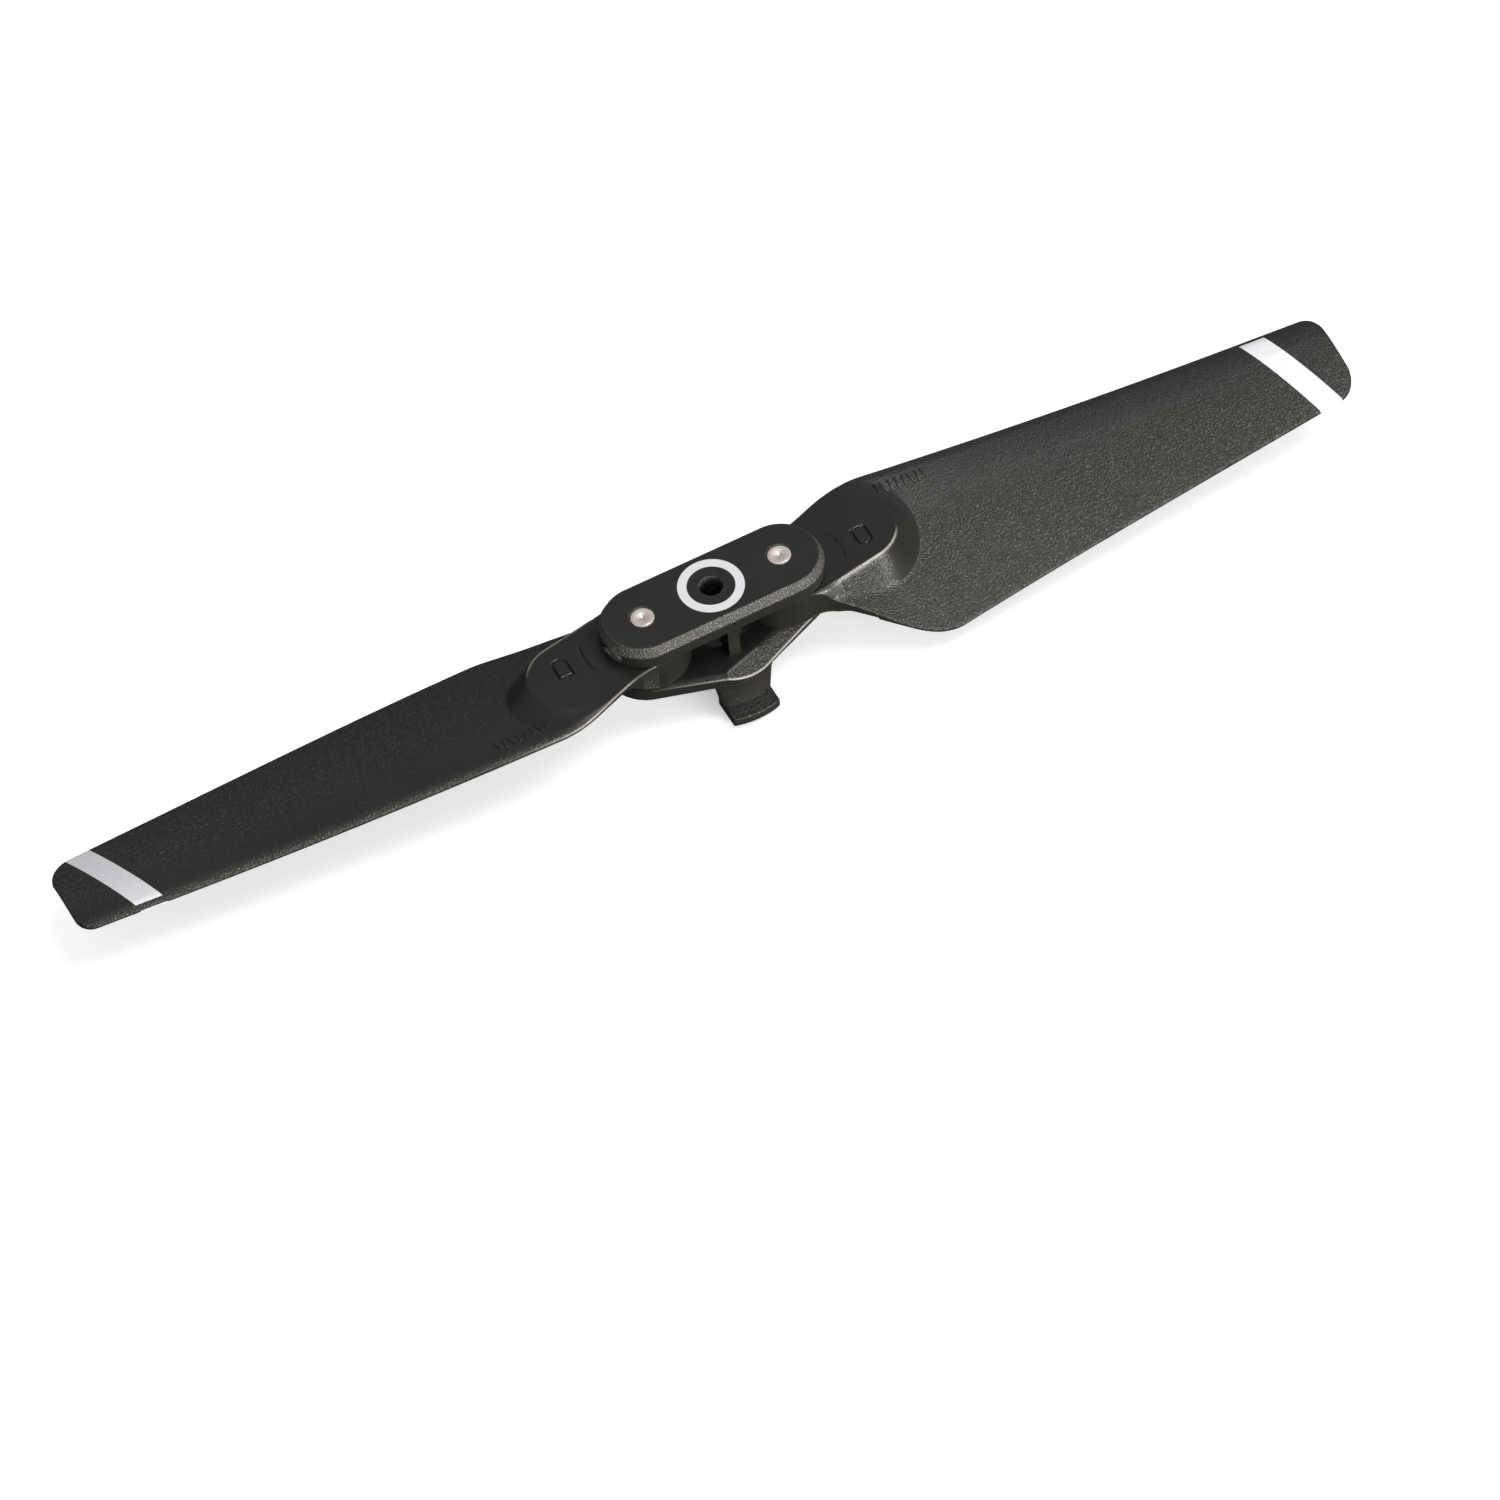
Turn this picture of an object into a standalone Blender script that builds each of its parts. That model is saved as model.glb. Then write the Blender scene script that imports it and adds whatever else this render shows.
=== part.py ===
"""Folding two-blade propeller with a bayonet hub.

The hub is a base plate with two bayonet hooks, a cap, and two stepped steel pins.
Each blade turns on its own pin, between the base plate and the cap.

Frame: origin on the spin axis at the height of the hook ends, +Z up through the cap,
+X along the unfolded blades.  The right blade is the one at +X; its leading edge faces
+Y, so the propeller turns anticlockwise seen from above.  The left blade is the right
blade turned half a turn about Z.
"""
import math

import bmesh
import bpy
from mathutils import Vector

MM = 0.001

# Overall sizes, mm
DIAMETER = 120.0
PIVOT_SPACING = 13.0
HOOK_HEIGHT = 3.65
BASE_THICKNESS = 1.25
KNUCKLE_HEIGHT = 3.14
CAP_THICKNESS = 2.0

# Fits, mm
AXIAL_PLAY = 0.08
PIN_PLAY = 0.06
SEAT_GAP = 0.03
FOLD_PLAY = 0.12

# Hub, mm
HUB_END_RADIUS = 3.8
BELLY_RADIUS = 5.8
MOTOR_BORE_RADIUS = 1.05
BOSS_MARGIN = 0.5
SEAT_RING_WALL = 0.62
SEAT_RING_HEIGHT = 0.22
RIB_HALF_THICKNESS = 0.55
RIB_END_MARGIN = 0.15
CAP_CHAMFER_WIDTH = 0.45
CAP_CHAMFER_HEIGHT = 0.85

# Slopes on two flanks of the base plate, which the folded trailing edges pass over
RELIEF_WIDTH = 1.5
RELIEF_EDGE = 0.32
RELIEF_LOBE_ANGLE = 38.0
RELIEF_BELLY_ANGLE = 63.0

# Bayonet hooks, mm
HOOK_POST_THICKNESS = 1.15
HOOK_HEAD_REACH = 1.5
HOOK_HEAD_THICKNESS = 0.9
HOOK_HALF_WIDTH = 2.2
HOOK_ROOT_HALF_WIDTH = 2.65
HOOK_OVERLAP = 0.2
HOOK_INSET = 0.02
HOOK_HEAD_LAP = 0.1
STOP_LAP = 0.4
STOP_LENGTH = 1.5
STOP_HEIGHT = 0.9
STOP_HALF_WIDTH = 0.55

# Pivot pins, mm
PIN_RADIUS = 1.04
PIN_TAIL_RADIUS = 0.74
PIN_RECESS = 0.02
PIN_EDGE = 0.1

# Blade in plan, mm: distances along the blade are counted from its pivot
KNUCKLE_MARGIN = 0.05
LE_SHOULDER_Y = 6.0
LE_TIP_Y = 2.45
TE_SHOULDER_Y = -8.88
TE_TIP_Y = -5.82
SHOULDER_AT = 10.5
LE_FLARE = (0.8, 10.8)
TE_FLARE = (0.55, 12.8)
LE_CORNER_RADIUS = 1.3
TE_CORNER_RADIUS = 2.3
TIP_ARC_SHARE = 0.985
EDGE_INSET = 0.05

# Blade in height, mm, counted down from the top face of its tongue
TONGUE_DROP = 0.04
LE_ROOT_DROP = 0.35
LE_TIP_DROP = 2.1
LE_LEVEL_AT = 45.5
LE_RISE = 1.16
LE_RISE_LENGTH = 32.0
TE_ROOT_DROP = 0.15
TE_DIP_START = 0.5
TE_DIP_LENGTH = 12.0
PITCH = 62.0
PITCH_CORE = 19.9

# Blade section, mm
ROOT_THICKNESS = 1.1
TIP_THICKNESS = 0.8
TE_THICKNESS = 0.3
TE_ROOT_WALL = 1.6
TE_WALL_FADES = (1.5, 8.5)
CAMBER = 0.043
NOSE_LENGTH = 1.1
TONGUE_HALF_WIDTH = 5.0
TONGUE_MIDDLE_Y = 0.8
TONGUE_SPINE_END = 8.1
TONGUE_WALL = (0.8, 2.0)
TONGUE_WALL_GROWS = (3.0, 11.0)
BODY_GROWTH = 1.4
TE_WALL_REACH = 0.55
HALVES_MEET = (0.25, 0.75)
LE_THINS = (0.6, 4.2)
TE_THINS = (0.4, 3.6)
FOLD_REACH = (5.9, 6.7)

ROUND_SEGMENTS = 48
SMALL_SEGMENTS = 24
ROOT_STATIONS = 23
ROOT_STATION_STEP = 0.6
OUTER_STATION_STEP = 2.6
CUT_OVERRUN = 1.0

# Heights above the hook ends, mm
BASE_BOTTOM = HOOK_HEIGHT
BASE_TOP = BASE_BOTTOM + BASE_THICKNESS
KNUCKLE_BOTTOM = BASE_TOP + AXIAL_PLAY
KNUCKLE_TOP = KNUCKLE_BOTTOM + KNUCKLE_HEIGHT
CAP_BOTTOM = KNUCKLE_TOP + AXIAL_PLAY
CAP_TOP = CAP_BOTTOM + CAP_THICKNESS
TONGUE_TOP = KNUCKLE_TOP - TONGUE_DROP
TONGUE_BOTTOM = KNUCKLE_BOTTOM + TONGUE_DROP

PIVOT_X = PIVOT_SPACING / 2
BLADE_LENGTH = DIAMETER / 2 - PIVOT_X
KNUCKLE_RADIUS = HUB_END_RADIUS - KNUCKLE_MARGIN
BOSS_RADIUS = PIVOT_X - KNUCKLE_RADIUS - BOSS_MARGIN
RELIEF_START = BELLY_RADIUS - RELIEF_WIDTH
RELIEF_SLOPE = (BASE_THICKNESS - RELIEF_EDGE) / RELIEF_WIDTH
HOOK_POST_RADIUS = BELLY_RADIUS - HOOK_INSET
HOOK_INNER_RADIUS = BELLY_RADIUS - HOOK_POST_THICKNESS
HOOK_HEAD_RADIUS = BELLY_RADIUS + HOOK_HEAD_REACH


# ---------------------------------------------------------------- helpers

def clear_scene():
    for old in list(bpy.data.objects):
        bpy.data.objects.remove(old, do_unlink=True)


def make_collection(name):
    collection = bpy.data.collections.new(name)
    bpy.context.scene.collection.children.link(collection)
    return collection


def make_material(name, colour, roughness, metallic):
    material = bpy.data.materials.new(name)
    material.use_nodes = True
    shader = material.node_tree.nodes["Principled BSDF"]
    shader.inputs["Base Color"].default_value = (*colour, 1.0)
    shader.inputs["Roughness"].default_value = roughness
    shader.inputs["Metallic"].default_value = metallic
    return material


def place(mesh, name, collection, material=None):
    obj = bpy.data.objects.new(name, mesh)
    collection.objects.link(obj)
    if material:
        mesh.materials.append(material)
    return obj


def cutter(mesh, name, collection):
    obj = place(mesh, name, collection)
    obj.hide_render = True
    obj.display_type = "WIRE"
    return obj


def combine(target, tool, operation):
    step = target.modifiers.new(f"{operation.title()} {tool.name}", "BOOLEAN")
    step.operation = operation
    step.solver = "EXACT"
    step.object = tool


def smoothstep(low, high, value):
    t = min(max((value - low) / (high - low), 0.0), 1.0)
    return t * t * (3.0 - 2.0 * t)


def mix(a, b, t):
    return a + (b - a) * t


def arc(centre_x, centre_y, radius, start, end, segments):
    """Points in mm on an arc, angles in degrees."""
    steps = [mix(start, end, i / segments) for i in range(segments + 1)]
    return [(centre_x + radius * math.cos(math.radians(a)),
             centre_y + radius * math.sin(math.radians(a))) for a in steps]


def loft(name, rings):
    """A closed mesh through rings of equal length, each a list of points in mm."""
    shape = bmesh.new()
    rows = [[shape.verts.new(Vector(point) * MM) for point in ring] for ring in rings]
    count = len(rings[0])
    for low, high in zip(rows, rows[1:]):
        for i in range(count):
            j = (i + 1) % count
            shape.faces.new((low[i], low[j], high[j], high[i]))
    shape.faces.new(list(reversed(rows[0])))
    shape.faces.new(rows[-1])
    bmesh.ops.recalc_face_normals(shape, faces=shape.faces)
    mesh = bpy.data.meshes.new(name)
    shape.to_mesh(mesh)
    shape.free()
    return mesh


def prism(name, outline, bottom, top):
    """A flat outline in mm, raised from bottom to top."""
    return loft(name, [[(x, y, z) for x, y in outline] for z in (bottom, top)])


def disc(name, radius, bottom, top, segments, x=0.0):
    return prism(name, arc(x, 0.0, radius, 0.0, 360.0 - 360.0 / segments, segments - 1), bottom, top)


def round_off(mesh, angle):
    mesh.shade_smooth()
    mesh.set_sharp_from_angle(angle=math.radians(angle))


# ---------------------------------------------------------------- hub cap

def stadium(radius):
    """The outline of a slot shape whose ends are centred on the two pivots."""
    half = ROUND_SEGMENTS // 2
    return (arc(PIVOT_X, 0.0, radius, -90.0, 90.0, half)
            + arc(-PIVOT_X, 0.0, radius, 90.0, 270.0, half))


def build_cap(collection, cutters, material):
    low_edge = CAP_TOP - CAP_CHAMFER_HEIGHT
    levels = [(CAP_BOTTOM, HUB_END_RADIUS), (low_edge, HUB_END_RADIUS),
              (CAP_TOP, HUB_END_RADIUS - CAP_CHAMFER_WIDTH)]
    rings = [[(x, y, z) for x, y in stadium(radius)] for z, radius in levels]
    cap = place(loft("hub_cap", rings), "hub_cap", collection, material)
    holes = {"motor_shaft": (0.0, MOTOR_BORE_RADIUS),
             "right_pin": (PIVOT_X, PIN_RADIUS + PIN_PLAY),
             "left_pin": (-PIVOT_X, PIN_RADIUS + PIN_PLAY)}
    for name, (x, radius) in holes.items():
        hole = disc(f"cap_hole_{name}", radius, CAP_BOTTOM - CUT_OVERRUN, CAP_TOP + CUT_OVERRUN,
                    SMALL_SEGMENTS, x)
        combine(cap, cutter(hole, hole.name, cutters), "DIFFERENCE")
    return cap


# ---------------------------------------------------------------- hub base

def flank_lean():
    """Angle in radians between the base plate's straight flanks and the X axis."""
    return math.asin((BELLY_RADIUS - HUB_END_RADIUS) / PIVOT_X)


def plate_outline():
    """Round lobes about the pivots and a wider round belly, joined by straight flanks.

    The two flanks that the folded trailing edges pass over are cut a little closer.
    """
    lobe = 90.0 - math.degrees(flank_lean())
    lobe_steps = ROUND_SEGMENTS // 3
    belly_steps = ROUND_SEGMENTS // 5
    return (arc(PIVOT_X, 0.0, HUB_END_RADIUS, -RELIEF_LOBE_ANGLE, lobe, lobe_steps)
            + arc(0.0, 0.0, BELLY_RADIUS, lobe, 180.0 - RELIEF_BELLY_ANGLE, belly_steps)
            + arc(-PIVOT_X, 0.0, HUB_END_RADIUS, 180.0 - RELIEF_LOBE_ANGLE, 180.0 + lobe, lobe_steps)
            + arc(0.0, 0.0, BELLY_RADIUS, 180.0 + lobe, 360.0 - RELIEF_BELLY_ANGLE, belly_steps))


def relief_depth(x, y):
    """How far the sloped flank at +X lies below the plate's top, at a place in plan."""
    lean = flank_lean()
    return max(x * math.sin(lean) - y * math.cos(lean) - RELIEF_START, 0.0) * RELIEF_SLOPE


def relief_wedge(name, side):
    """What is cut from the plate's top to leave one sloped flank."""
    lean = flank_lean()
    inner, outer = RELIEF_START - 1.0, BELLY_RADIUS + 2.0
    profile = [(inner, BASE_TOP + RELIEF_SLOPE), (outer, BASE_TOP - (outer - RELIEF_START) * RELIEF_SLOPE),
               (outer, BASE_TOP + RELIEF_SLOPE)]
    rings = []
    for run in (-PIVOT_SPACING, PIVOT_SPACING):
        rings.append([(side * (d * math.sin(lean) + run * math.cos(lean)),
                       side * (run * math.sin(lean) - d * math.cos(lean)), z) for d, z in profile])
    return loft(name, rings)


def hook_outline(inner, outer, half_width, side):
    """A piece of a ring about the spin axis with its two sides parallel, on side +Y or -Y."""
    def edge(radius, start, end):
        steps = 8
        xs = [mix(start, end, i / steps) for i in range(steps + 1)]
        return [(x * side, math.sqrt(radius * radius - x * x) * side) for x in xs]
    return edge(inner, -half_width, half_width) + edge(outer, half_width, -half_width)


def build_hook(cutters, side, name):
    """Post and head of one bayonet hook, below the base plate."""
    root = hook_outline(HOOK_INNER_RADIUS, HOOK_POST_RADIUS, HOOK_ROOT_HALF_WIDTH, side)
    neck = hook_outline(HOOK_INNER_RADIUS, HOOK_POST_RADIUS, HOOK_HALF_WIDTH, side)
    neck_z = HOOK_HEAD_THICKNESS / 2
    post = loft(f"{name}_post", [[(x, y, neck_z) for x, y in neck],
                                 [(x, y, HOOK_HEAD_THICKNESS) for x, y in neck],
                                 [(x, y, BASE_BOTTOM) for x, y in root],
                                 [(x, y, BASE_BOTTOM + HOOK_OVERLAP) for x, y in root]])
    inner, half = HOOK_INNER_RADIUS + HOOK_HEAD_LAP, HOOK_HALF_WIDTH - HOOK_INSET
    head = prism(f"{name}_head", hook_outline(inner, HOOK_HEAD_RADIUS, half, side), 0.0, HOOK_HEAD_THICKNESS)
    inner = (HOOK_INNER_RADIUS - STOP_LENGTH) * side
    outer = (HOOK_INNER_RADIUS + STOP_LAP) * side
    corners = [(-STOP_HALF_WIDTH, inner), (STOP_HALF_WIDTH, inner),
               (STOP_HALF_WIDTH, outer), (-STOP_HALF_WIDTH, outer)]
    stop = prism(f"{name}_stop", corners, BASE_BOTTOM - STOP_HEIGHT, BASE_BOTTOM + HOOK_OVERLAP)
    return [cutter(piece, piece.name, cutters) for piece in (post, head, stop)]


def build_base(collection, cutters, material):
    plate = prism("hub_base", plate_outline(), BASE_BOTTOM, BASE_TOP)
    base = place(plate, "hub_base", collection, material)
    wall_top = CAP_BOTTOM - SEAT_GAP
    middle = BASE_BOTTOM + BASE_THICKNESS / 2
    boss = disc("centre_boss", BOSS_RADIUS, middle, wall_top, ROUND_SEGMENTS)
    rib_end = HUB_END_RADIUS - RIB_END_MARGIN
    rib = prism("centre_rib", [(-RIB_HALF_THICKNESS, -rib_end), (RIB_HALF_THICKNESS, -rib_end),
                               (RIB_HALF_THICKNESS, rib_end), (-RIB_HALF_THICKNESS, rib_end)],
                middle - 0.1, wall_top)
    seat = disc("motor_seat_ring", MOTOR_BORE_RADIUS + SEAT_RING_WALL,
                BASE_BOTTOM - SEAT_RING_HEIGHT, middle - 0.2, ROUND_SEGMENTS)
    for name, side in (("right_flank", 1.0), ("left_flank", -1.0)):
        wedge = cutter(relief_wedge(f"{name}_wedge", side), f"{name}_wedge", cutters)
        combine(base, wedge, "DIFFERENCE")
    additions = [cutter(piece, piece.name, cutters) for piece in (boss, rib, seat)]
    additions += build_hook(cutters, 1.0, "back_hook") + build_hook(cutters, -1.0, "front_hook")
    for piece in additions:
        combine(base, piece, "UNION")
    holes = {"motor_shaft": (0.0, MOTOR_BORE_RADIUS, CAP_TOP),
             "right_pin": (PIVOT_X, PIN_TAIL_RADIUS + PIN_PLAY, BASE_TOP + CUT_OVERRUN),
             "left_pin": (-PIVOT_X, PIN_TAIL_RADIUS + PIN_PLAY, BASE_TOP + CUT_OVERRUN)}
    for name, (x, radius, top) in holes.items():
        hole = disc(f"base_hole_{name}", radius, BASE_BOTTOM - CUT_OVERRUN, top, SMALL_SEGMENTS, x)
        combine(base, cutter(hole, hole.name, cutters), "DIFFERENCE")
    return base


# ---------------------------------------------------------------- pivot pins

def build_pin(collection, name, side, material):
    """A stepped pin, turned about its own axis and set on its blade's joint axis."""
    top = CAP_TOP - PIN_RECESS
    step = BASE_TOP + SEAT_GAP
    bottom = BASE_BOTTOM + PIN_RECESS
    profile = [(0.0, top), (PIN_RADIUS - PIN_EDGE, top), (PIN_RADIUS, top - PIN_EDGE),
               (PIN_RADIUS, step), (PIN_TAIL_RADIUS, step), (PIN_TAIL_RADIUS, bottom), (0.0, bottom)]
    mesh = bpy.data.meshes.new(name)
    mesh.from_pydata([(r * MM, 0.0, z * MM) for r, z in profile],
                     [(i, i + 1) for i in range(len(profile) - 1)], [])
    pin = place(mesh, name, collection, material)
    turn = pin.modifiers.new("Turn", "SCREW")
    turn.axis = "Z"
    turn.steps = SMALL_SEGMENTS
    turn.render_steps = SMALL_SEGMENTS
    turn.use_merge_vertices = True
    turn.merge_threshold = 1e-6
    turn.use_smooth_shade = False
    pin.location = (side * PIVOT_X * MM, 0.0, 0.0)
    return pin


# ---------------------------------------------------------------- blades

def tip_pull(along, radius):
    """How far a tip corner draws the edge in, at a distance along the blade."""
    over = along - (BLADE_LENGTH - radius)
    if over <= 0.0:
        return 0.0
    over = min(over, radius * TIP_ARC_SHARE)
    return radius - math.sqrt(radius ** 2 - over ** 2)


def leading_y(along):
    slope = (LE_TIP_Y - LE_SHOULDER_Y) / (BLADE_LENGTH - SHOULDER_AT)
    straight = LE_SHOULDER_Y + slope * (along - SHOULDER_AT)
    edge = mix(KNUCKLE_RADIUS - EDGE_INSET, straight, smoothstep(*LE_FLARE, along))
    return edge - tip_pull(along, LE_CORNER_RADIUS)


def trailing_y(along):
    slope = (TE_TIP_Y - TE_SHOULDER_Y) / (BLADE_LENGTH - SHOULDER_AT)
    straight = TE_SHOULDER_Y + slope * (along - SHOULDER_AT)
    edge = mix(-KNUCKLE_RADIUS + EDGE_INSET, straight, smoothstep(*TE_FLARE, along))
    return edge + tip_pull(along, TE_CORNER_RADIUS)


def chord_heights(along):
    """Mid heights of the trailing and leading edges, mm below the tongue's top face."""
    level = max(LE_LEVEL_AT - along, 0.0) / LE_RISE_LENGTH
    leading = min(-LE_TIP_DROP + LE_RISE * level * level, -LE_ROOT_DROP)
    radius = along + PIVOT_X
    twist = PITCH / (2.0 * math.pi * math.hypot(radius, PITCH_CORE))
    twisted = leading - twist * (leading_y(along) - trailing_y(along))
    dip = min(max((along - TE_DIP_START) / TE_DIP_LENGTH, 0.0), 1.0)
    trailing = mix(-TE_ROOT_DROP, twisted, 1.0 - (1.0 - dip) ** 2)
    return trailing, leading


def folded_floor(along, y):
    """The lowest that the trailing half may reach and still pass over the base plate when folded."""
    reach = smoothstep(*FOLD_REACH, along) * (TE_ROOT_WALL + 2.0)
    return TONGUE_BOTTOM - TONGUE_TOP + FOLD_PLAY - relief_depth(PIVOT_X + y, -along) - reach


def section(along, top_steps, bottom_steps):
    """One closed section of the blade: up over the top from the trailing edge, back below."""
    y_te, y_le = trailing_y(along), leading_y(along)
    z_te, z_le = chord_heights(along)
    chord = y_le - y_te
    span = min(max((along - SHOULDER_AT) / (BLADE_LENGTH - SHOULDER_AT), 0.0), 1.0)
    thick = mix(ROOT_THICKNESS, TIP_THICKNESS, span)
    tongue_bottom = TONGUE_BOTTOM - TONGUE_TOP
    wall = mix(TE_ROOT_WALL, TE_THICKNESS, smoothstep(*TE_WALL_FADES, along))
    le_thins = smoothstep(*LE_THINS, along)
    te_thins = smoothstep(*TE_THINS, along)

    def thickness(share):
        nose = min((1.0 - share) * chord / NOSE_LENGTH, 1.0)
        body = mix(TE_THICKNESS, thick, min(share * BODY_GROWTH, 1.0))
        return body * math.sqrt(1.0 - (1.0 - nose) ** 2)

    def middle(share):
        return mix(z_te, z_le, share) + CAMBER * chord * 4.0 * share * (1.0 - share)

    def tongue(share):
        """1 on the raised tongue, 0 outside its wall."""
        y = mix(y_te, y_le, share)
        past = max(along - TONGUE_SPINE_END, 0.0)
        distance = math.hypot(past, y - TONGUE_MIDDLE_Y)
        width = mix(*TONGUE_WALL, smoothstep(*TONGUE_WALL_GROWS, along))
        return smoothstep(0.0, width, TONGUE_HALF_WIDTH - distance)

    def top(share):
        z = middle(share) + thickness(share) / 2.0
        if share < 1.0:
            z = mix(z, max(z, 0.0), tongue(share))
        return min(z, 0.0)

    def bottom(share):
        below = mix(wall - TE_THICKNESS / 2.0, 0.0, smoothstep(0.0, TE_WALL_REACH, share))
        below = max(below, thickness(share) / 2.0)
        thins = mix(te_thins, le_thins, smoothstep(*HALVES_MEET, share))
        z = mix(tongue_bottom, middle(share) - below, thins)
        passing = mix(tongue_bottom, folded_floor(along, mix(y_te, y_le, share)), te_thins)
        return max(z, passing)

    ring = []
    for share in top_steps:
        ring.append((along, mix(y_te, y_le, share), TONGUE_TOP + top(share)))
    for share in reversed(bottom_steps):
        ring.append((along, mix(y_te, y_le, share), TONGUE_TOP + bottom(share)))
    return ring


def blade_stations():
    root = [i * ROOT_STATION_STEP for i in range(ROOT_STATIONS)]
    corner = BLADE_LENGTH - TE_CORNER_RADIUS
    count = max(int((corner - root[-1]) / OUTER_STATION_STEP), 2)
    middle = [mix(root[-1], corner, i / count) for i in range(1, count + 1)]
    tip = [corner + TE_CORNER_RADIUS * math.sin(math.radians(a)) for a in (18, 36, 54, 68, 80)]
    return root + middle + tip + [BLADE_LENGTH]


def build_blade(collection, cutters, name, side, material):
    """A blade with its knuckle, drawn from its pivot outwards and turned for its side."""
    top_steps = [i / 22 for i in range(20)] + [0.93, 0.965, 0.985, 0.995, 1.0]
    bottom_steps = [0.0, 0.1, 0.2, 0.3, 0.4, 0.5, 0.6, 0.7, 0.8, 0.88, 0.94, 0.97, 0.99]
    rings = [section(along, top_steps, bottom_steps) for along in blade_stations()]
    blade = place(loft(name, rings), name, collection, material)
    knuckle = disc(f"{name}_knuckle", KNUCKLE_RADIUS, KNUCKLE_BOTTOM, KNUCKLE_TOP, ROUND_SEGMENTS)
    low, high = KNUCKLE_BOTTOM - CUT_OVERRUN, KNUCKLE_TOP + CUT_OVERRUN
    bore = disc(f"{name}_bore", PIN_RADIUS + PIN_PLAY, low, high, SMALL_SEGMENTS)
    for mesh, operation in ((knuckle, "UNION"), (bore, "DIFFERENCE")):
        tool = cutter(mesh, mesh.name, cutters)
        tool.parent = blade
        combine(blade, tool, operation)
    blade.location = (side * PIVOT_X * MM, 0.0, 0.0)
    blade.rotation_euler = (0.0, 0.0, 0.0 if side > 0 else math.pi)
    round_off(blade.data, 40.0)
    return blade


def main():
    clear_scene()
    parts = make_collection("propeller")
    cutters = make_collection("cutters")
    black = (0.035, 0.034, 0.032)
    build_base(parts, cutters, make_material("base_plastic", black, 0.55, 0.0))
    build_cap(parts, cutters, make_material("cap_plastic", black, 0.5, 0.0))
    for side, name in ((1, "right"), (-1, "left")):
        plastic = make_material(f"{name}_blade_plastic", black, 0.5, 0.0)
        steel = make_material(f"{name}_pin_steel", (0.74, 0.68, 0.66), 0.3, 1.0)
        build_blade(parts, cutters, f"{name}_blade", side, plastic)
        build_pin(parts, f"{name}_pivot_pin", side, steel)


main()
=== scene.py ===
"""Looks of a folding two-blade propeller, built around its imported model.

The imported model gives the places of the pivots, the cap, the base and the blade tips.  Each of its
solids is replaced by a finished one of the same size: rounded edges, mould marks, printed ink and
the fine spark-eroded grain of a moulded part.

Lengths are in millimetres until a mesh is made.  A blade is drawn from its pivot outwards along +X
with its leading edge at +Y, and the left blade is the right one turned half a turn.
"""
import math
import random

import bmesh
import bpy
from mathutils import Matrix, Vector


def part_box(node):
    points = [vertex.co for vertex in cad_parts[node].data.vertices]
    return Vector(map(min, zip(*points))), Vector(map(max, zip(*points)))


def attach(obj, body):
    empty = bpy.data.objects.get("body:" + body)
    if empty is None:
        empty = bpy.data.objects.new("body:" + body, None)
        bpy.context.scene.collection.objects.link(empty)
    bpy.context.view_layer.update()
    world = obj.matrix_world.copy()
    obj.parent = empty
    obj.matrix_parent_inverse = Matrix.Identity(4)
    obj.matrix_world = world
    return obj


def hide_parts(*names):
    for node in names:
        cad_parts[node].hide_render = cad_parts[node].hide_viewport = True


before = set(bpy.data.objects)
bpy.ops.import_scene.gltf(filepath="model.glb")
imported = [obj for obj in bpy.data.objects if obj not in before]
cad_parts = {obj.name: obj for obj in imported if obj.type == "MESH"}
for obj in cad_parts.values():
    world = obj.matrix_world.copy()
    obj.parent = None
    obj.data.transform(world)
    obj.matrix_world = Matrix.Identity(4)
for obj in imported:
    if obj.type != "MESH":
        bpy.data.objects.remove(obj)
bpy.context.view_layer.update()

MM = 0.001
WELD_REACH = 0.0008

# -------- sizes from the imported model


def node_box(node):
    """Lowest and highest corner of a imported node, in millimetres."""
    low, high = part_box(node)
    return low / MM, high / MM


CAP_LOW, CAP_HIGH = node_box("hub_cap")
BLADE_LOW, BLADE_HIGH = node_box("right_blade")
BASE_LOW, BASE_HIGH = node_box("hub_base")
PIN_LOW, PIN_HIGH = node_box("right_pivot_pin")

PIVOT_X = (PIN_LOW.x + PIN_HIGH.x) / 2
BLADE_LENGTH = BLADE_HIGH.x - PIVOT_X
HUB_END_RADIUS = CAP_HIGH.y
CAP_BOTTOM, CAP_TOP = CAP_LOW.z, CAP_HIGH.z
KNUCKLE_TOP = BLADE_HIGH.z
KNUCKLE_RADIUS = PIVOT_X - BLADE_LOW.x
HOOK_HEAD_RADIUS = BASE_HIGH.y

# -------- sizes of the hub

HOOK_HEIGHT = 3.65
BASE_THICKNESS = 1.25
BASE_BOTTOM = BASE_LOW.z + HOOK_HEIGHT
BASE_TOP = BASE_BOTTOM + BASE_THICKNESS
BELLY_RADIUS = 5.8
MOTOR_BORE_RADIUS = 1.05
BOSS_CLEARANCE = 0.5
BOSS_RADIUS = PIVOT_X - KNUCKLE_RADIUS - BOSS_CLEARANCE
SEAT_RING_RADIUS = 1.67
SEAT_RING_HEIGHT = 0.22
RIB_HALF_THICKNESS = 0.55
CHAMFER_WIDTH = 0.45
CHAMFER_HEIGHT = 0.85
CHAMFER_CREASE = 0.06
CHAMFER_PULL = 0.01
CHAMFER_MARGIN = 0.1
CHAMFER_STEPS = 5
CAP_BORDER = 0.2
EDGE_ROUND = 0.1
ROUND_SHARE = 0.3
BOSS_FOOT = ((0.25, 0.0), (0.07, 0.07), (0.0, 0.25))
BOSS_ROUND = 0.08
RIB_SHORT = 0.15
RIB_ROUND = 0.08
SEAT_ROUND = 0.06
UNION_SINK = 0.3

CUT_OVERRUN = 1.0
LIP_ROUND = (0.3, 0.4)
MOTOR_BORE_LIPS = (0.05, 0.06)
PIN_HOLE_LIPS = (0.09, 0.04)

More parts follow.
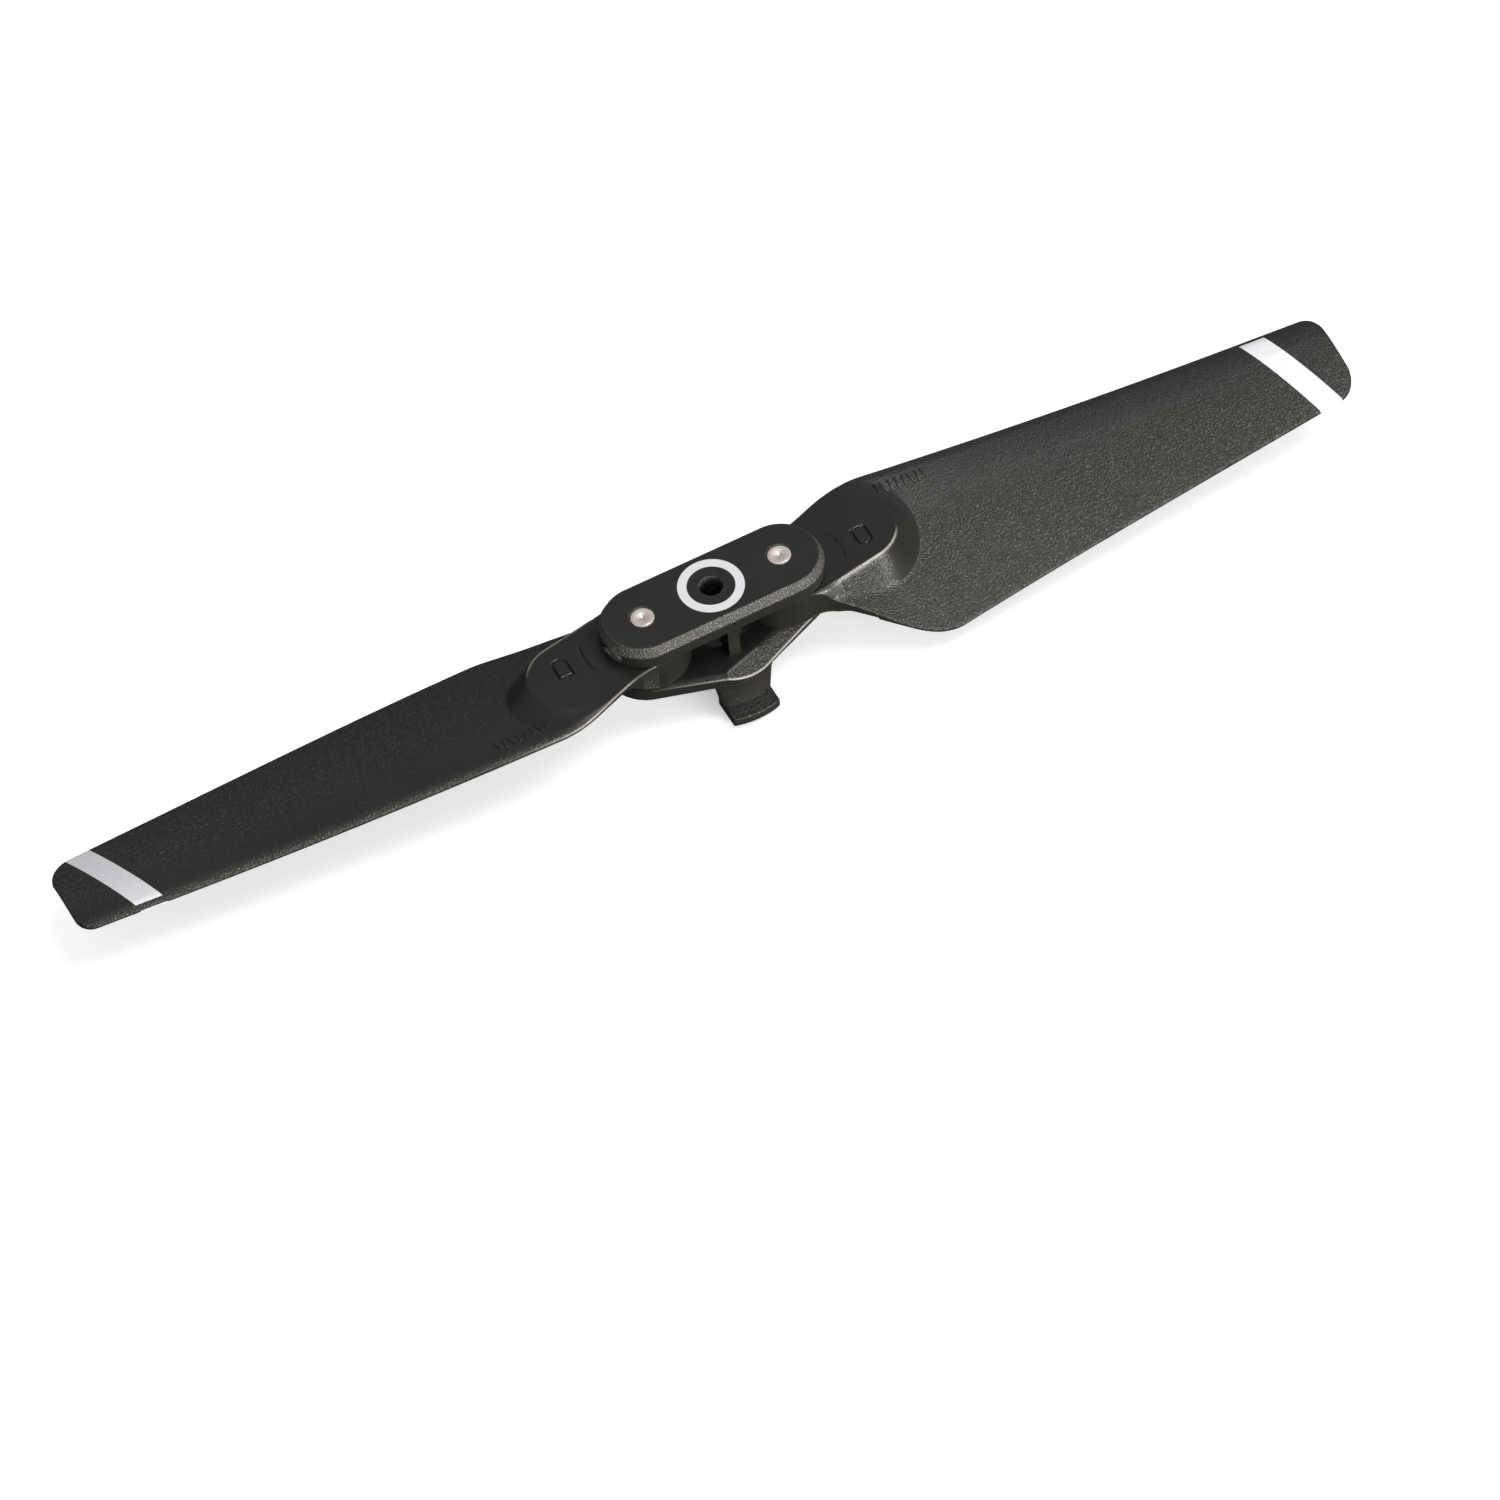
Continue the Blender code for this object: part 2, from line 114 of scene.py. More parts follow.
RELIEF_WIDTH = 1.5
RELIEF_EDGE = 0.32
RELIEF_SLOPE = (BASE_THICKNESS - RELIEF_EDGE) / RELIEF_WIDTH
RELIEF_START = BELLY_RADIUS - RELIEF_WIDTH
RELIEF_CREASE = 0.12
RELIEF_LOBE_ANGLE = 38.0
RELIEF_BELLY_ANGLE = 63.0

PLATE_RIM = ((0.13, 0.0), (0.08, 0.01), (0.038, 0.038), (0.01, 0.08), (0.0, 0.13))
PLATE_RINGS = 40

HOOK_INSET = 0.02
HOOK_THICKNESS = 1.15
HOOK_POST_RADIUS = BELLY_RADIUS - HOOK_INSET
HOOK_INNER_RADIUS = BELLY_RADIUS - HOOK_THICKNESS
HOOK_HEAD_THICKNESS = 0.9
HOOK_HALF_WIDTH = 2.2
HOOK_ROOT_HALF_WIDTH = 2.65
# Each row: height from the plate's underside, how far the post has widened, its fillet on the inside.
HOOK_FOOT = ((-0.45, 0.75, 0.0), (-0.22, 0.86, 0.05), (-0.06, 1.0, 0.16), (0.1, 1.1, 0.24))
HOOK_FOOT_SPREAD = 0.4
HOOK_ROUND = 0.12
HOOK_SHARP_ANGLE = 50.0
HEAD_LAP = 0.02
HEAD_ROUND = 0.13
STOP_LENGTH = 1.5
STOP_HEIGHT = 0.9
STOP_HALF_WIDTH = 0.55
STOP_LAP = 0.4
STOP_ROUND = 0.08

EJECTOR_SPREAD = (8.6, 4.0)
EJECTOR_RADIUS = 0.98
EJECTOR_HEIGHT = 0.08
EJECTOR_SINK = 0.005
EJECTOR_ROUND = 0.02

PIN_RADIUS = PIN_HIGH.y
PIN_TAIL_RADIUS = 0.74
PIN_PLAY = 0.06
PIN_STEP_PLAY = 0.03
# Dimples are rows of radius and depth; edges are rows of inset and drop from the face.
PIN_DIMPLE = ((0.0, 0.1), (0.08, 0.09), (0.16, 0.02), (0.19, 0.0))
PIN_HEAD_EDGE = ((0.2, 0.0), (0.17, 0.03), (0.12, 0.03), (0.04, 0.04), (0.0, 0.1))
PIN_TAIL_EDGE = ((0.0, 0.12), (0.03, 0.05), (0.1, 0.0))
PIN_TAIL_DIMPLE = ((0.34, 0.0), (0.28, 0.02), (0.2, 0.12), (0.0, 0.14))

PRINT_RING = (2.06, 2.85)
PRINT_RING_EDGE = 0.02
PRINT_RING_DEPTH = (0.2, 0.1)

GATE_BEARING = 200.0
GATE_DROP = 1.3
GATE_SIZE = (0.85, 0.24, 0.42)
GATE_BUMPS = 46
GATE_BUMP_SIZES = (-0.22, 0.3)
GATE_BUMP_FOCUS = 4.0
GATE_SEED = 7

# -------- sizes of the blades

LE_SHOULDER_Y = 6.0
LE_TIP_Y = 2.45
TE_SHOULDER_Y = -8.88
TE_TIP_Y = -5.82
SHOULDER_AT = 10.5
LE_FLARE = (0.8, 10.8)
TE_FLARE = (0.55, 12.8)
LE_CORNER_RADIUS = 1.3
TE_CORNER_RADIUS = 2.3
TIP_ARC_SHARE = 0.985
TIP_STEP_DEGREES = 5
ROOT_INSET = 0.05

TONGUE_SINK = 0.04
BLADE_PLAY = 0.08
TONGUE_TOP = KNUCKLE_TOP - TONGUE_SINK
KNUCKLE_BOTTOM = BASE_TOP + BLADE_PLAY
TONGUE_BOTTOM = KNUCKLE_BOTTOM + TONGUE_SINK
LE_ROOT_DROP = 0.35
LE_TIP_DROP = 2.1
LE_LEVEL_AT = 45.5
LE_RISE = 1.16
LE_RISE_LENGTH = 32.0
TE_ROOT_DROP = 0.15
TE_DIP_START = 0.5
TE_DIP_LENGTH = 12.0
PITCH = 62.0
PITCH_CORE = 19.9

ROOT_THICKNESS = 1.1
TIP_THICKNESS = 0.8
TE_THICKNESS = 0.3
TE_ROOT_WALL = 1.6
TE_WALL_FADES = (1.5, 8.5)
TE_WALL_ROWS = (0.1, 0.5, 0.9)
TE_WALL_REACH = 0.55
HALVES_MEET = (0.25, 0.75)
CAMBER = 0.043
BODY_GROWTH = 1.4
TAIL_START = 0.4
TAIL_LENGTH = 0.25
NOSE_LENGTH = 1.1
LE_THINS = (0.6, 4.2)
TE_THINS = (0.4, 3.6)
FOLD_REACH = (5.9, 6.7)
FOLD_PLAY = 0.12
FOLD_FREE = 2.0

TONGUE_RADIUS = 5.0
TONGUE_MIDDLE_Y = 0.8
TONGUE_SPINE_END = 8.1
TONGUE_WALL = (0.5, 2.0)
TONGUE_WALL_GROWS = (2.3, 11.0)
TONGUE_ROUNDING = 0.08
BEAD_HEIGHT = 0.05
BEAD_WIDTH = 0.075
BEAD_ACROSS = (-0.5, -2.0)
BEAD_ALONG = (2.0, 4.0)
RIM_RADIUS = 0.19

GROOVE_DEPTH = 0.17
CRESCENT_FROM = 4.0
CRESCENT_EDGE = (-0.02, 0.06)
CRESCENT_OUTER = (0.55, -0.15, 4.95)
CRESCENT_INNER = (3.29, -0.15, 2.66)
SLOT_MIDDLE = (7.7, -0.55)
SLOT_HALF_WIDTH = 0.62
SLOT_OPEN_Y = 0.75
SLOT_LINE = 0.1
SLOT_LINE_EDGE = (0.4, 1.3)
FAR_AWAY = 9.0

TICK_COUNT = 8
TICK_ROW = ((17.9, 3.95), (22.3, 3.72))
TICK_SIZE = (0.19, 1.1, 0.17)
TICK_ROUND = 0.025

BAND_FROM = 53.65
BAND_TO = 55.95
BAND_LEAN = 0.35
BAND_STOPS_SHORT = 0.5
BAND_EDGE = 0.03

# Rows of a length or share and the number of steps up to it.
STATION_STOPS = ((0.0, 0), (4.2, 20), (8.8, 66), (14.0, 60))
OUTER_STATIONS = 56
TOP_STOPS = ((0.0, 0), (0.02, 4), (0.28, 16), (0.78, 120), (0.88, 8))
BOTTOM_STOPS = ((0.0, 0), (0.02, 3), (0.88, 36))
NOSE_STEPS = (16, 14)

# -------- places of grain and of painted highlights

FAINT_GRAIN = 0.03
UPPER_HOOK_GRAIN = 0.05
HOOK_GRAIN = 0.2
# Share of the painted highlight colour laid on the cap's grained chamfer.
CAP_PAINTED_SHEEN = 0.14
CAP_GRAIN_EDGE = 0.03
CAP_FACE_TILT = (0.8, 0.95)
SLOPE_GRAIN = (0.02, 0.25)
SLOPE_TILT = (0.62, 0.8)
SLOPE_HIGHLIGHT = (0.1, 0.4)
RIM_TILT = (0.2, 0.8)
PLATE_RIM_HIGHLIGHT = 0.7

UNDERSIDE_TILT = -0.3
UNDERSIDE_SMOOTH = (6.5, -0.5)
UNDERSIDE_FADE = (3.0, 5.5)
UNDERSIDE_FAINT = 0.3
NOSE_GRAIN_WIDTH = (0.6, 0.35)
NOSE_GRAIN_ALONG = (8.0, 13.0)
NOSE_GRAIN_TILT = (0.1, 0.3)
SMOOTH_STRIP = (0.4, 0.85)
SMOOTH_STRIP_SHARE = 0.75
WALL_GRAIN_ALONG = (9.5, 6.5)
WALL_GRAIN_ACROSS = (0.0, -1.5)
WALL_GRAIN_BROW = (0.8, 1.0)
TONGUE_FOOT = (0.0, 0.06)
ROOT_GRAIN = (1.5, 4.0)
ROOT_FAINT = 0.05
SIDE_WALL_TILT = 0.45
SIDE_WALL_REACH = 0.1
# Painted highlights on the tongue's trailing brow and on the root's rim.
BROW_HIGHLIGHT_WIDTH = 0.085
BROW_HIGHLIGHT_ALONG = (2.5, 4.5)
RIM_HIGHLIGHT_INSET = 0.07
RIM_HIGHLIGHT_WIDTH = 0.06
RIM_HIGHLIGHT_STARTS = (2.5, 4.0)
RIM_HIGHLIGHT_ENDS = (17.0, 9.0)
RIM_HIGHLIGHT_SHARE = 0.6
HIGHLIGHT_TILT = 0.1

# -------- colours and finishes

BLACK = (0.0115, 0.0108, 0.0098)
WORN_BLACK = (0.0155, 0.0146, 0.0132)
GRAIN_GREY = (0.024, 0.023, 0.021)
# Pale colour shared by dust specks and painted glints.
DUST_AND_PAINTED_GLINT_GREY = (0.058, 0.0555, 0.051)
# Pale colour of the painted highlights on edges and on the cap's chamfer.
PAINTED_HIGHLIGHT_GREY = (0.26, 0.25, 0.235)
INK = (0.66, 0.68, 0.71)
PLASTIC_GLOSS = 0.36
PLASTIC_ROUGHNESS = 0.26
POLISH_ROUGHNESS = 0.12
GRAIN_ROUGHNESS = -0.02
INK_ROUGHNESS = 0.1
INK_FILLS = 0.6
GRAIN_DEPTH = 0.06
SMOOTH_DEPTH = 0.025

GRAIN_SIZE = 0.2
PAINTED_GLINT_SIZE = 0.16
POLISH_SIZE = 1.6
CLOUD_SIZE = 9.0
DUST_SPACING = 1.3
DUST_RADIUS = 0.045
DUST_PATCH = 1.9
INK_PATCH = 0.35
GRAIN_LEVELS = (0.3, 0.7)
PAINTED_GLINT_LEVELS = (0.6, 0.74)
CLOUD_LEVELS = (0.35, 0.7)
DUST_LEVEL = 0.6
INK_LEVELS = (0.2, 0.32)

STEEL_DARK = (0.73, 0.65, 0.62)
STEEL_LIGHT = (0.8, 0.72, 0.69)
STEEL_ROUGHNESS = 0.44
SMUDGE_ROUGHNESS = 0.06
SMUDGE_SIZE = 0.6
TURNING_PITCH = 0.07
TURNING_DEPTH = 0.0014

# -------- floor, lamps and lens

FLOOR_WIDTH = 6000.0
FLOOR_LEVEL = -0.4
FLOOR_TONES = ((0.9, 0.9, 0.9), (0.93, 0.93, 0.93))
FLOOR_PATCH = 300.0
FLOOR_ROUGHNESS = 0.9
FLOOR_GLOSS = 0.1
FLOOR_GLOW = 0.4

SKY_HORIZON = (-0.1, 0.25)
SKY_STRENGTHS = (0.06, 0.42)
LAMP_WHITE = (1.0, 0.98, 0.95)
# Each row: name, direction from the hub, distance and size in metres, radiance.
SOFTBOXES = (
    ("overhead_softbox", (0.3, -0.12, 0.94), 0.8, (0.4, 0.4), 4.2),
    ("front_softbox", (0.3, -0.9, 0.2), 0.6, (0.44, 0.24), 16.0),
    ("low_front_strip", (0.24, -0.97, 0.06), 0.6, (0.5, 0.07), 20.0),
    ("right_softbox", (0.6, -0.12, 0.79), 0.7, (0.22, 0.22), 6.0),
)

CAMERA_AIM = (-5.36, -16.92)
CAMERA_BEARING = 23.516
CAMERA_HEIGHT_ANGLE = 52.609
CAMERA_ROLL = -5.897
CAMERA_DISTANCE = 560.92
CAMERA_LENS = 163.83
CAMERA_SENSOR = 36.0
CAMERA_CLIP = (0.01, 20.0)


# -------- small helpers

def smoothstep(low, high, value):
    t = min(max((value - low) / (high - low), 0.0), 1.0)
    return t * t * (3.0 - 2.0 * t)


def ramp(low, high, value):
    return min(max((value - low) / (high - low), 0.0), 1.0)


def mix(a, b, t):
    return a + (b - a) * t


def arc(centre_x, centre_y, radius, start, end, segments):
    """Points on an arc, angles in degrees."""
    steps = [math.radians(mix(start, end, i / segments)) for i in range(segments + 1)]
    return [(centre_x + radius * math.cos(a), centre_y + radius * math.sin(a)) for a in steps]


def rounded_edge(size, share=ROUND_SHARE):
    """A small rounded edge, as insets and heights from its face up to its wall."""
    return ((size, 0.0), (size * share, size * share), (0.0, size))


def show(mesh, name):
    obj = bpy.data.objects.new(name, mesh)
    bpy.context.scene.collection.objects.link(obj)
    return obj


def as_object(shape, name):
    """Ends a shape under construction as an object whose faces point outwards."""
    bmesh.ops.recalc_face_normals(shape, faces=shape.faces)
    mesh = bpy.data.meshes.new(name)
    shape.to_mesh(mesh)
    shape.free()
    return show(mesh, name)


def loft(name, rings):
    """A closed solid through rings of equal length, each a list of points."""
    shape = bmesh.new()
    rows = [[shape.verts.new(Vector(point) * MM) for point in ring] for ring in rings]
    count = len(rings[0])
    for low, high in zip(rows, rows[1:]):
        for i in range(count):
            j = (i + 1) % count
            shape.faces.new((low[i], low[j], high[j], high[i]))
    shape.faces.new(list(reversed(rows[0])))
    shape.faces.new(rows[-1])
    return as_object(shape, name)


def lathe(name, profile, centre_x=0.0, segments=96):
    """A solid turned about a vertical axis.  The profile starts and ends on the axis."""
    shape = bmesh.new()
    rings = []
    for radius, z in profile:
        if radius == 0.0:
            rings.append([shape.verts.new(Vector((centre_x, 0.0, z)) * MM)])
        else:
            turn = arc(centre_x, 0.0, radius, 0.0, 360.0 - 360.0 / segments, segments - 1)
            rings.append([shape.verts.new(Vector((x, y, z)) * MM) for x, y in turn])
    for low, high in zip(rings, rings[1:]):
        for i in range(segments):
            j = (i + 1) % segments
            corners = [low[i % len(low)], low[j % len(low)], high[j % len(high)], high[i % len(high)]]
            shape.faces.new(list(dict.fromkeys(corners)))
    return as_object(shape, name)


def box_solid(name, low, high):
    x0, y0, z0 = low
    x1, y1, z1 = high
    outline = [(x0, y0), (x1, y0), (x1, y1), (x0, y1)]
    return loft(name, [[(x, y, z) for x, y in outline] for z in (z0, z1)])


def settle(obj):
    """Turns an object's modifiers into its mesh."""
    graph = bpy.context.evaluated_depsgraph_get()
    mesh = bpy.data.meshes.new_from_object(obj.evaluated_get(graph))
    obj.modifiers.clear()
    obj.data = mesh
    return obj


def soften(obj, width, segments=3, angle=30.0):
    """Rounds the sharp edges of a solid."""
    edge = obj.modifiers.new("Rounded edges", "BEVEL")
    edge.width = width * MM
    edge.segments = segments
    edge.limit_method = "ANGLE"
    edge.angle_limit = math.radians(angle)
    return settle(obj)


def combine(obj, tools, operation):
    for tool in tools:
        step = obj.modifiers.new(operation.title(), "BOOLEAN")
        step.operation = operation
        step.solver = "EXACT"
        step.object = tool
        settle(obj)
        bpy.data.objects.remove(tool, do_unlink=True)
    weld(obj)
    return obj


def weld(obj):
    """Closes the hairline seams that a union or cut can leave."""
    shape = bmesh.new()
    shape.from_mesh(obj.data)
    bmesh.ops.remove_doubles(shape, verts=shape.verts, dist=WELD_REACH * MM)
    bmesh.ops.dissolve_degenerate(shape, edges=shape.edges, dist=WELD_REACH / 2.0 * MM)
    shape.to_mesh(obj.data)
    shape.free()


def smooth(obj, angle=35.0):
    """Smooth shading that keeps flat faces flat and sharp edges sharp."""
    obj.data.shade_smooth()
    obj.data.set_sharp_from_angle(angle=math.radians(angle))
    lean = obj.modifiers.new("Flat faces", "WEIGHTED_NORMAL")
    lean.keep_sharp = True
    return settle(obj)


def paint(obj, layer, rule):
    """Stores rule(point in mm, normal) on every vertex, for the material to read."""
    values = obj.data.attributes.new(layer, "FLOAT", "POINT")
    normals = obj.data.vertex_normals
    for i, vertex in enumerate(obj.data.vertices):
        values.data[i].value = rule(vertex.co / MM, normals[i].vector)


def finish_piece(obj, material, body, slot, *nodes):
    obj.data.materials.clear()
    obj.data.materials.append(material)
    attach(obj, body)
    if nodes:
        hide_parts(*nodes)
    return obj


# -------- materials

class Sheet:
    """A material's node tree, with short calls for the nodes that it uses."""

    def __init__(self, name):
        self.material = bpy.data.materials.new(name)
        self.material.use_nodes = True
        self.nodes = self.material.node_tree.nodes
        self.links = self.material.node_tree.links
        self.shader = self.nodes["Principled BSDF"]
        self.place = self.nodes.new("ShaderNodeTexCoord").outputs["Object"]

    def feed(self, socket, value):
        if isinstance(value, bpy.types.NodeSocket):
            self.links.new(value, socket)
        else:
            socket.default_value = value

    def math(self, operation, a, b=0.0, c=0.0, clamp=False):
        node = self.nodes.new("ShaderNodeMath")
        node.operation = operation
        node.use_clamp = clamp
        for socket, value in zip(node.inputs, (a, b, c)):
            self.feed(socket, value)
        return node.outputs[0]

    def steps(self, value, low, high):
        """0 below low, 1 above high, smooth between."""
        node = self.nodes.new("ShaderNodeMapRange")
        node.interpolation_type = "SMOOTHSTEP"
        for name, given in (("Value", value), ("From Min", low), ("From Max", high)):
            self.feed(node.inputs[name], given)
        return node.outputs["Result"]

    def noise(self, size, detail=2.0, roughness=0.5):
        """Noise whose blobs are about size millimetres across."""
        node = self.nodes.new("ShaderNodeTexNoise")
        self.feed(node.inputs["Vector"], self.place)
        node.inputs["Scale"].default_value = 1.0 / (size * MM)
        node.inputs["Detail"].default_value = detail
        node.inputs["Roughness"].default_value = roughness
        return node.outputs["Fac"]

    def cells(self, size):
        """Distance to the nearest of many points, about size millimetres apart."""
        node = self.nodes.new("ShaderNodeTexVoronoi")
        self.feed(node.inputs["Vector"], self.place)
        node.inputs["Scale"].default_value = 1.0 / (size * MM)
        return node.outputs["Distance"]

    def layer(self, name):
        """A value that paint() has stored on the mesh."""
        node = self.nodes.new("ShaderNodeAttribute")
        node.attribute_name = name
        return node.outputs["Fac"]

    def axes(self):
        node = self.nodes.new("ShaderNodeSeparateXYZ")
        self.feed(node.inputs[0], self.place)
        return node.outputs

    def blend(self, share, a, b):
        """Colour a where share is 0 and colour b where it is 1."""
        node = self.nodes.new("ShaderNodeMix")
        node.data_type = "RGBA"
        self.feed(node.inputs["Factor"], share)
        for socket, colour in ((node.inputs[6], a), (node.inputs[7], b)):
            self.feed(socket, (*colour, 1.0) if isinstance(colour, tuple) else colour)
        return node.outputs[2]

    def bump(self, height, depth):
        """A relief whose highest point stands depth millimetres above its lowest."""
        node = self.nodes.new("ShaderNodeBump")
        node.inputs["Strength"].default_value = 1.0
        node.inputs["Distance"].default_value = depth * MM
        self.feed(node.inputs["Height"], height)
        return node.outputs["Normal"]


def moulded_plastic(name, ink=None):
    """Black moulded plastic.

    The layer "grain" says where the spark-eroded finish is; a second layer says where a painted highlight
    lightens an edge, the cap's chamfer or its gate mark.
    """
    sheet = Sheet(name)
    grain = sheet.layer("grain")
    peaks = sheet.steps(sheet.noise(GRAIN_SIZE, 2.0, 0.6), *GRAIN_LEVELS)
    cloud = sheet.noise(CLOUD_SIZE, 3.0, 0.55)
    polish = sheet.noise(POLISH_SIZE, 3.0, 0.6)
    # Painted glints: small pale sparkle points on the grained areas, painted into the colour.
    painted_glints = sheet.math("MULTIPLY", sheet.steps(sheet.noise(PAINTED_GLINT_SIZE, 0.0), *PAINTED_GLINT_LEVELS), grain)
    speck = sheet.math("LESS_THAN", sheet.cells(DUST_SPACING), DUST_RADIUS)
    rare = sheet.math("GREATER_THAN", sheet.noise(DUST_PATCH, 1.0), DUST_LEVEL)
    dust = sheet.math("MULTIPLY", speck, rare)

    colour = sheet.blend(sheet.steps(cloud, *CLOUD_LEVELS), BLACK, WORN_BLACK)
    colour = sheet.blend(sheet.math("MULTIPLY", peaks, grain), colour, GRAIN_GREY)
    # Dust specks and painted glints both lighten the colour here.
    colour = sheet.blend(sheet.math("MAXIMUM", dust, painted_glints), colour, DUST_AND_PAINTED_GLINT_GREY)
    # Painted highlight: pale lines and patches where edges would catch the lamps, painted into the colour.
    colour = sheet.blend(sheet.layer("worn"), colour, PAINTED_HIGHLIGHT_GREY)
    rough = sheet.math("MULTIPLY_ADD", polish, POLISH_ROUGHNESS, PLASTIC_ROUGHNESS)
    rough = sheet.math("MULTIPLY_ADD", grain, GRAIN_ROUGHNESS, rough)
    depth = sheet.math("MULTIPLY_ADD", grain, 1.0 - SMOOTH_DEPTH, SMOOTH_DEPTH)
    relief = sheet.math("MULTIPLY", peaks, depth)
    if ink:
        patchy = sheet.steps(sheet.noise(INK_PATCH, 3.0, 0.6), *INK_LEVELS)
        mask = sheet.math("MULTIPLY", ink(sheet), patchy)
        colour = sheet.blend(mask, colour, INK)
        rough = sheet.math("MULTIPLY_ADD", mask, INK_ROUGHNESS, rough)
        relief = sheet.math("MULTIPLY", relief, sheet.math("MULTIPLY_ADD", mask, -INK_FILLS, 1.0))
    sheet.feed(sheet.shader.inputs["Base Color"], colour)
    sheet.feed(sheet.shader.inputs["Roughness"], rough)
    sheet.feed(sheet.shader.inputs["Normal"], sheet.bump(relief, GRAIN_DEPTH))
    sheet.shader.inputs["Specular IOR Level"].default_value = PLASTIC_GLOSS
    return sheet.material


def ring_print(sheet):
    """A white ring round the motor bore, on the cap's top face."""
    x, y, z = sheet.axes()
    squares = sheet.math("ADD", sheet.math("MULTIPLY", x, x), sheet.math("MULTIPLY", y, y))
    radius = sheet.math("DIVIDE", sheet.math("SQRT", squares), MM)
    inner, outer = PRINT_RING
    inside = sheet.steps(radius, inner - PRINT_RING_EDGE, inner + PRINT_RING_EDGE)
    outside = sheet.steps(radius, outer - PRINT_RING_EDGE, outer + PRINT_RING_EDGE)
    ring = sheet.math("SUBTRACT", inside, outside, clamp=True)
    below, above = ((CAP_TOP - depth) * MM for depth in PRINT_RING_DEPTH)
    return sheet.math("MULTIPLY", ring, sheet.steps(z, below, above))


def band_print(side):
    """A slanted white band near the tip, which stops a little short of the leading edge."""
    def mask(sheet):
        x, y, _ = sheet.axes()
        along = sheet.math("MULTIPLY_ADD", y, BAND_LEAN * side, sheet.math("MULTIPLY", x, side))
        along = sheet.math("DIVIDE", along, MM)
        start = sheet.steps(along, BAND_FROM - BAND_EDGE, BAND_FROM + BAND_EDGE)
        end = sheet.steps(along, BAND_TO - BAND_EDGE, BAND_TO + BAND_EDGE)
        from_edge = sheet.layer("from_edge")
        short = sheet.steps(from_edge, BAND_STOPS_SHORT - BAND_EDGE, BAND_STOPS_SHORT + BAND_EDGE)
        return sheet.math("MULTIPLY", sheet.math("SUBTRACT", start, end, clamp=True), short)
    return mask


def turned_steel(name, centre_x):
    """Bright steel with fine turning rings and a warm tone."""
    sheet = Sheet(name)
    x, y, _ = sheet.axes()
    dx = sheet.math("SUBTRACT", x, centre_x * MM)
    squares = sheet.math("ADD", sheet.math("MULTIPLY", dx, dx), sheet.math("MULTIPLY", y, y))
    turns = sheet.math("MULTIPLY", sheet.math("SQRT", squares), 2.0 * math.pi / (TURNING_PITCH * MM))
    smudge = sheet.noise(SMUDGE_SIZE, 3.0, 0.6)
    rough = sheet.math("MULTIPLY_ADD", smudge, SMUDGE_ROUGHNESS, STEEL_ROUGHNESS)
    sheet.feed(sheet.shader.inputs["Base Color"], sheet.blend(smudge, STEEL_DARK, STEEL_LIGHT))
    sheet.feed(sheet.shader.inputs["Roughness"], rough)
    sheet.shader.inputs["Metallic"].default_value = 1.0
    relief = sheet.math("MULTIPLY_ADD", sheet.math("SINE", turns), 0.5, sheet.noise(GRAIN_SIZE))
    sheet.feed(sheet.shader.inputs["Normal"], sheet.bump(relief, TURNING_DEPTH))
    return sheet.material


# -------- hub cap

def stadium(inset):
    radius = HUB_END_RADIUS - inset
    return arc(PIVOT_X, 0.0, radius, -90.0, 90.0, 64) + arc(-PIVOT_X, 0.0, radius, 90.0, 270.0, 64)


def bore_cutter(name, x, radius, bottom, top, lip):
    """A hole with a small rounded lip at each mouth."""
    out, down = (lip * share for share in LIP_ROUND)
    flare = radius + CUT_OVERRUN + lip
    profile = [(0.0, top + CUT_OVERRUN), (flare, top + CUT_OVERRUN), (radius + lip, top),
               (radius + out, top - down), (radius, top - lip), (radius, bottom + lip),
               (radius + out, bottom + down), (radius + lip, bottom),
               (flare, bottom - CUT_OVERRUN), (0.0, bottom - CUT_OVERRUN)]
    return lathe(name, profile, x, 72)


def gate_frame():
    """The gate mark's middle on the cap's wall, and the ways out from it and along it."""
    turn = math.radians(GATE_BEARING)
    outward = Vector((math.cos(turn), math.sin(turn), 0.0))
    middle = outward * HUB_END_RADIUS + Vector((-PIVOT_X, 0.0, CAP_TOP - GATE_DROP))
    return middle, outward, Vector((-outward.y, outward.x, 0.0))


def build_gate_mark():
    """The rough stub left where the moulding was broken from its runner."""
    shape = bmesh.new()
    bmesh.ops.create_icosphere(shape, subdivisions=4, radius=MM)
    chance = random.Random(GATE_SEED)
    bumps = [(Vector((chance.uniform(-1, 1), chance.uniform(-1, 1), chance.uniform(-1, 1))).normalized(),
              chance.uniform(*GATE_BUMP_SIZES)) for _ in range(GATE_BUMPS)]
    middle, outward, sideways = gate_frame()
    for vertex in shape.verts:
        way = vertex.co.normalized()
        near = GATE_BUMP_FOCUS - 1.0
        swell = 1.0 + sum(size * max(way.dot(bump) * GATE_BUMP_FOCUS - near, 0.0) for bump, size in bumps)
        offset = (sideways * way.x * GATE_SIZE[0] + outward * way.y * GATE_SIZE[1]
                  + Vector((0.0, 0.0, way.z * GATE_SIZE[2]))) * swell
        vertex.co = (middle + offset) * MM
    return as_object(shape, "gate_mark")


